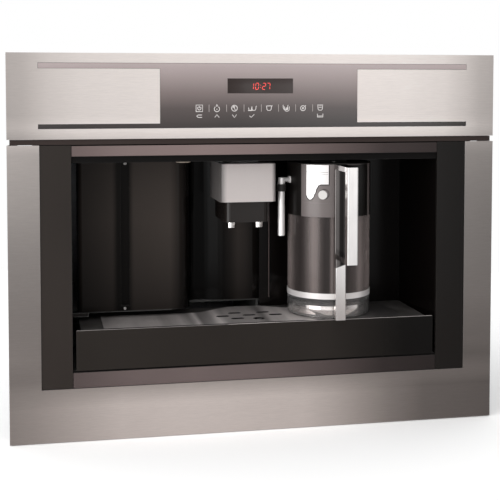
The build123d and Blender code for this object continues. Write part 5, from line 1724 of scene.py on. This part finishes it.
# ---------------------------------------------------------------- top and back
@dataclass
class HousingMarks:
    """The grind scale on the top, the knob's pointer, the switch marks and the screws' drives, dark as painted shade.
    """

    knob: Span = (11.0, 67.0)
    top: float = 449.5
    marks: int = 9
    mark_turns: Span = (-45.0, 33.75)
    mark_reach: Span = (21.5, 23.5)
    mark_growth: float = 0.35
    pointer: tuple[Point, Point] = ((10.3, 73.0, 447.8), (11.7, 84.0, 448.3))
    screws: tuple[Span, ...] = (
        (-256.0, 66.5), (-256.0, 248.6), (-256.0, 430.8), (256.0, 66.5), (256.0, 248.6), (256.0, 430.8),
    )  # fmt: skip
    screw_face: float = 189.8
    switch: Point = (-160.0, 189.15, 91.0)

    def build_scale(self) -> Piece:
        """Makes the grind scale's marks, coarser marks longer.

        Returns:
            The finished piece.
        """
        first, step = self.mark_turns
        near, far = self.mark_reach
        lines = []
        for index in range(self.marks):
            angle = math.radians(first + step * index)
            x, y = math.cos(angle), math.sin(angle)
            ends = (near, far + self.mark_growth * index)
            lines.append([(self.knob[0] + r * x, self.knob[1] + r * y, self.top) for r in ends])
        return Bench.finish(Bench.stroke("grind_scale", lines, width=0.5), DARK_LINE_AND_SHADE, Body.MACHINE, "housing_sheet")

    def build_pointer(self) -> Piece:
        """Makes the grind knob's pointer."""
        piece = Bench.tile("grind_pointer", self.pointer, faces_up, border=0.25, move=(0.0, 0.0, 0.08), rounding=0.15)
        return Bench.finish(piece, INK, Body.SELECTOR, "carrier_black")

    def build_drive_shades(self) -> Piece:
        """Makes one dark cross, painted shade of a screw's drive, and copies it to every rear screw.

        Returns:
            The finished piece.
        """
        x, z = self.screws[0]
        y = self.screw_face
        arms = [
            Bench.block("drive_arm", (x - wide, y - 0.3, z - tall), (x + wide, y + proud, z + tall))
            for wide, tall, proud in ((2.0, 0.35, 0.05), (0.35, 2.0, 0.06))
        ]
        for arm in arms:
            Bench.round_edges(arm, 0.08)
        cross = Bench.join("screw_drive", *arms)
        piece = Bench.repeat("screw_drive_shades", cross, [(side, 0.0, level) for side, level in self.screws])
        # Painted shade: the crosses are dark for the shade in the drive recesses.
        return Bench.finish(piece, DARK_LINE_AND_SHADE, Body.MACHINE, "screw_steel")

    def build_switch_marks(self) -> Piece:
        """Makes the bar and the ring on the mains switch.

        Returns:
            The finished piece.
        """
        x, y, z = self.switch
        bar = [(x, y, z + 4.2), (x, y, z + 8.0)]
        ring = [(x + u, y, z - 6.0 + v) for u, v in arc((0, 0), 2.0)]
        piece = Bench.stroke("switch_marks", [bar, ring], width=0.6, flat=0.4)
        return Bench.finish(piece, INK, Body.SWITCH, "switch_black")

    def build(self) -> list[Piece]:
        """Builds the marks and returns them."""
        return [self.build_scale(), self.build_pointer(), self.build_drive_shades(), self.build_switch_marks()]


def main() -> None:
    """Sets up the studio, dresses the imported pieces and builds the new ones."""
    logging.basicConfig(level=logging.INFO, format="%(message)s")
    Studio().build()
    dress_nodes()
    for part in (TouchPanel(), MilkLid(), DoorTrim(), TrayTrim(), HousingMarks()):
        for piece in part.build():
            corners = [Vector(vertex.co) * 1000 for vertex in piece.data.vertices]
            low = [round(min(c[i] for c in corners), 1) for i in range(3)]
            high = [round(max(c[i] for c in corners), 1) for i in range(3)]
            log.info("%s: %s from %s to %s mm", type(part).__name__, piece.name, low, high)


if __name__ == "__main__":
    main()
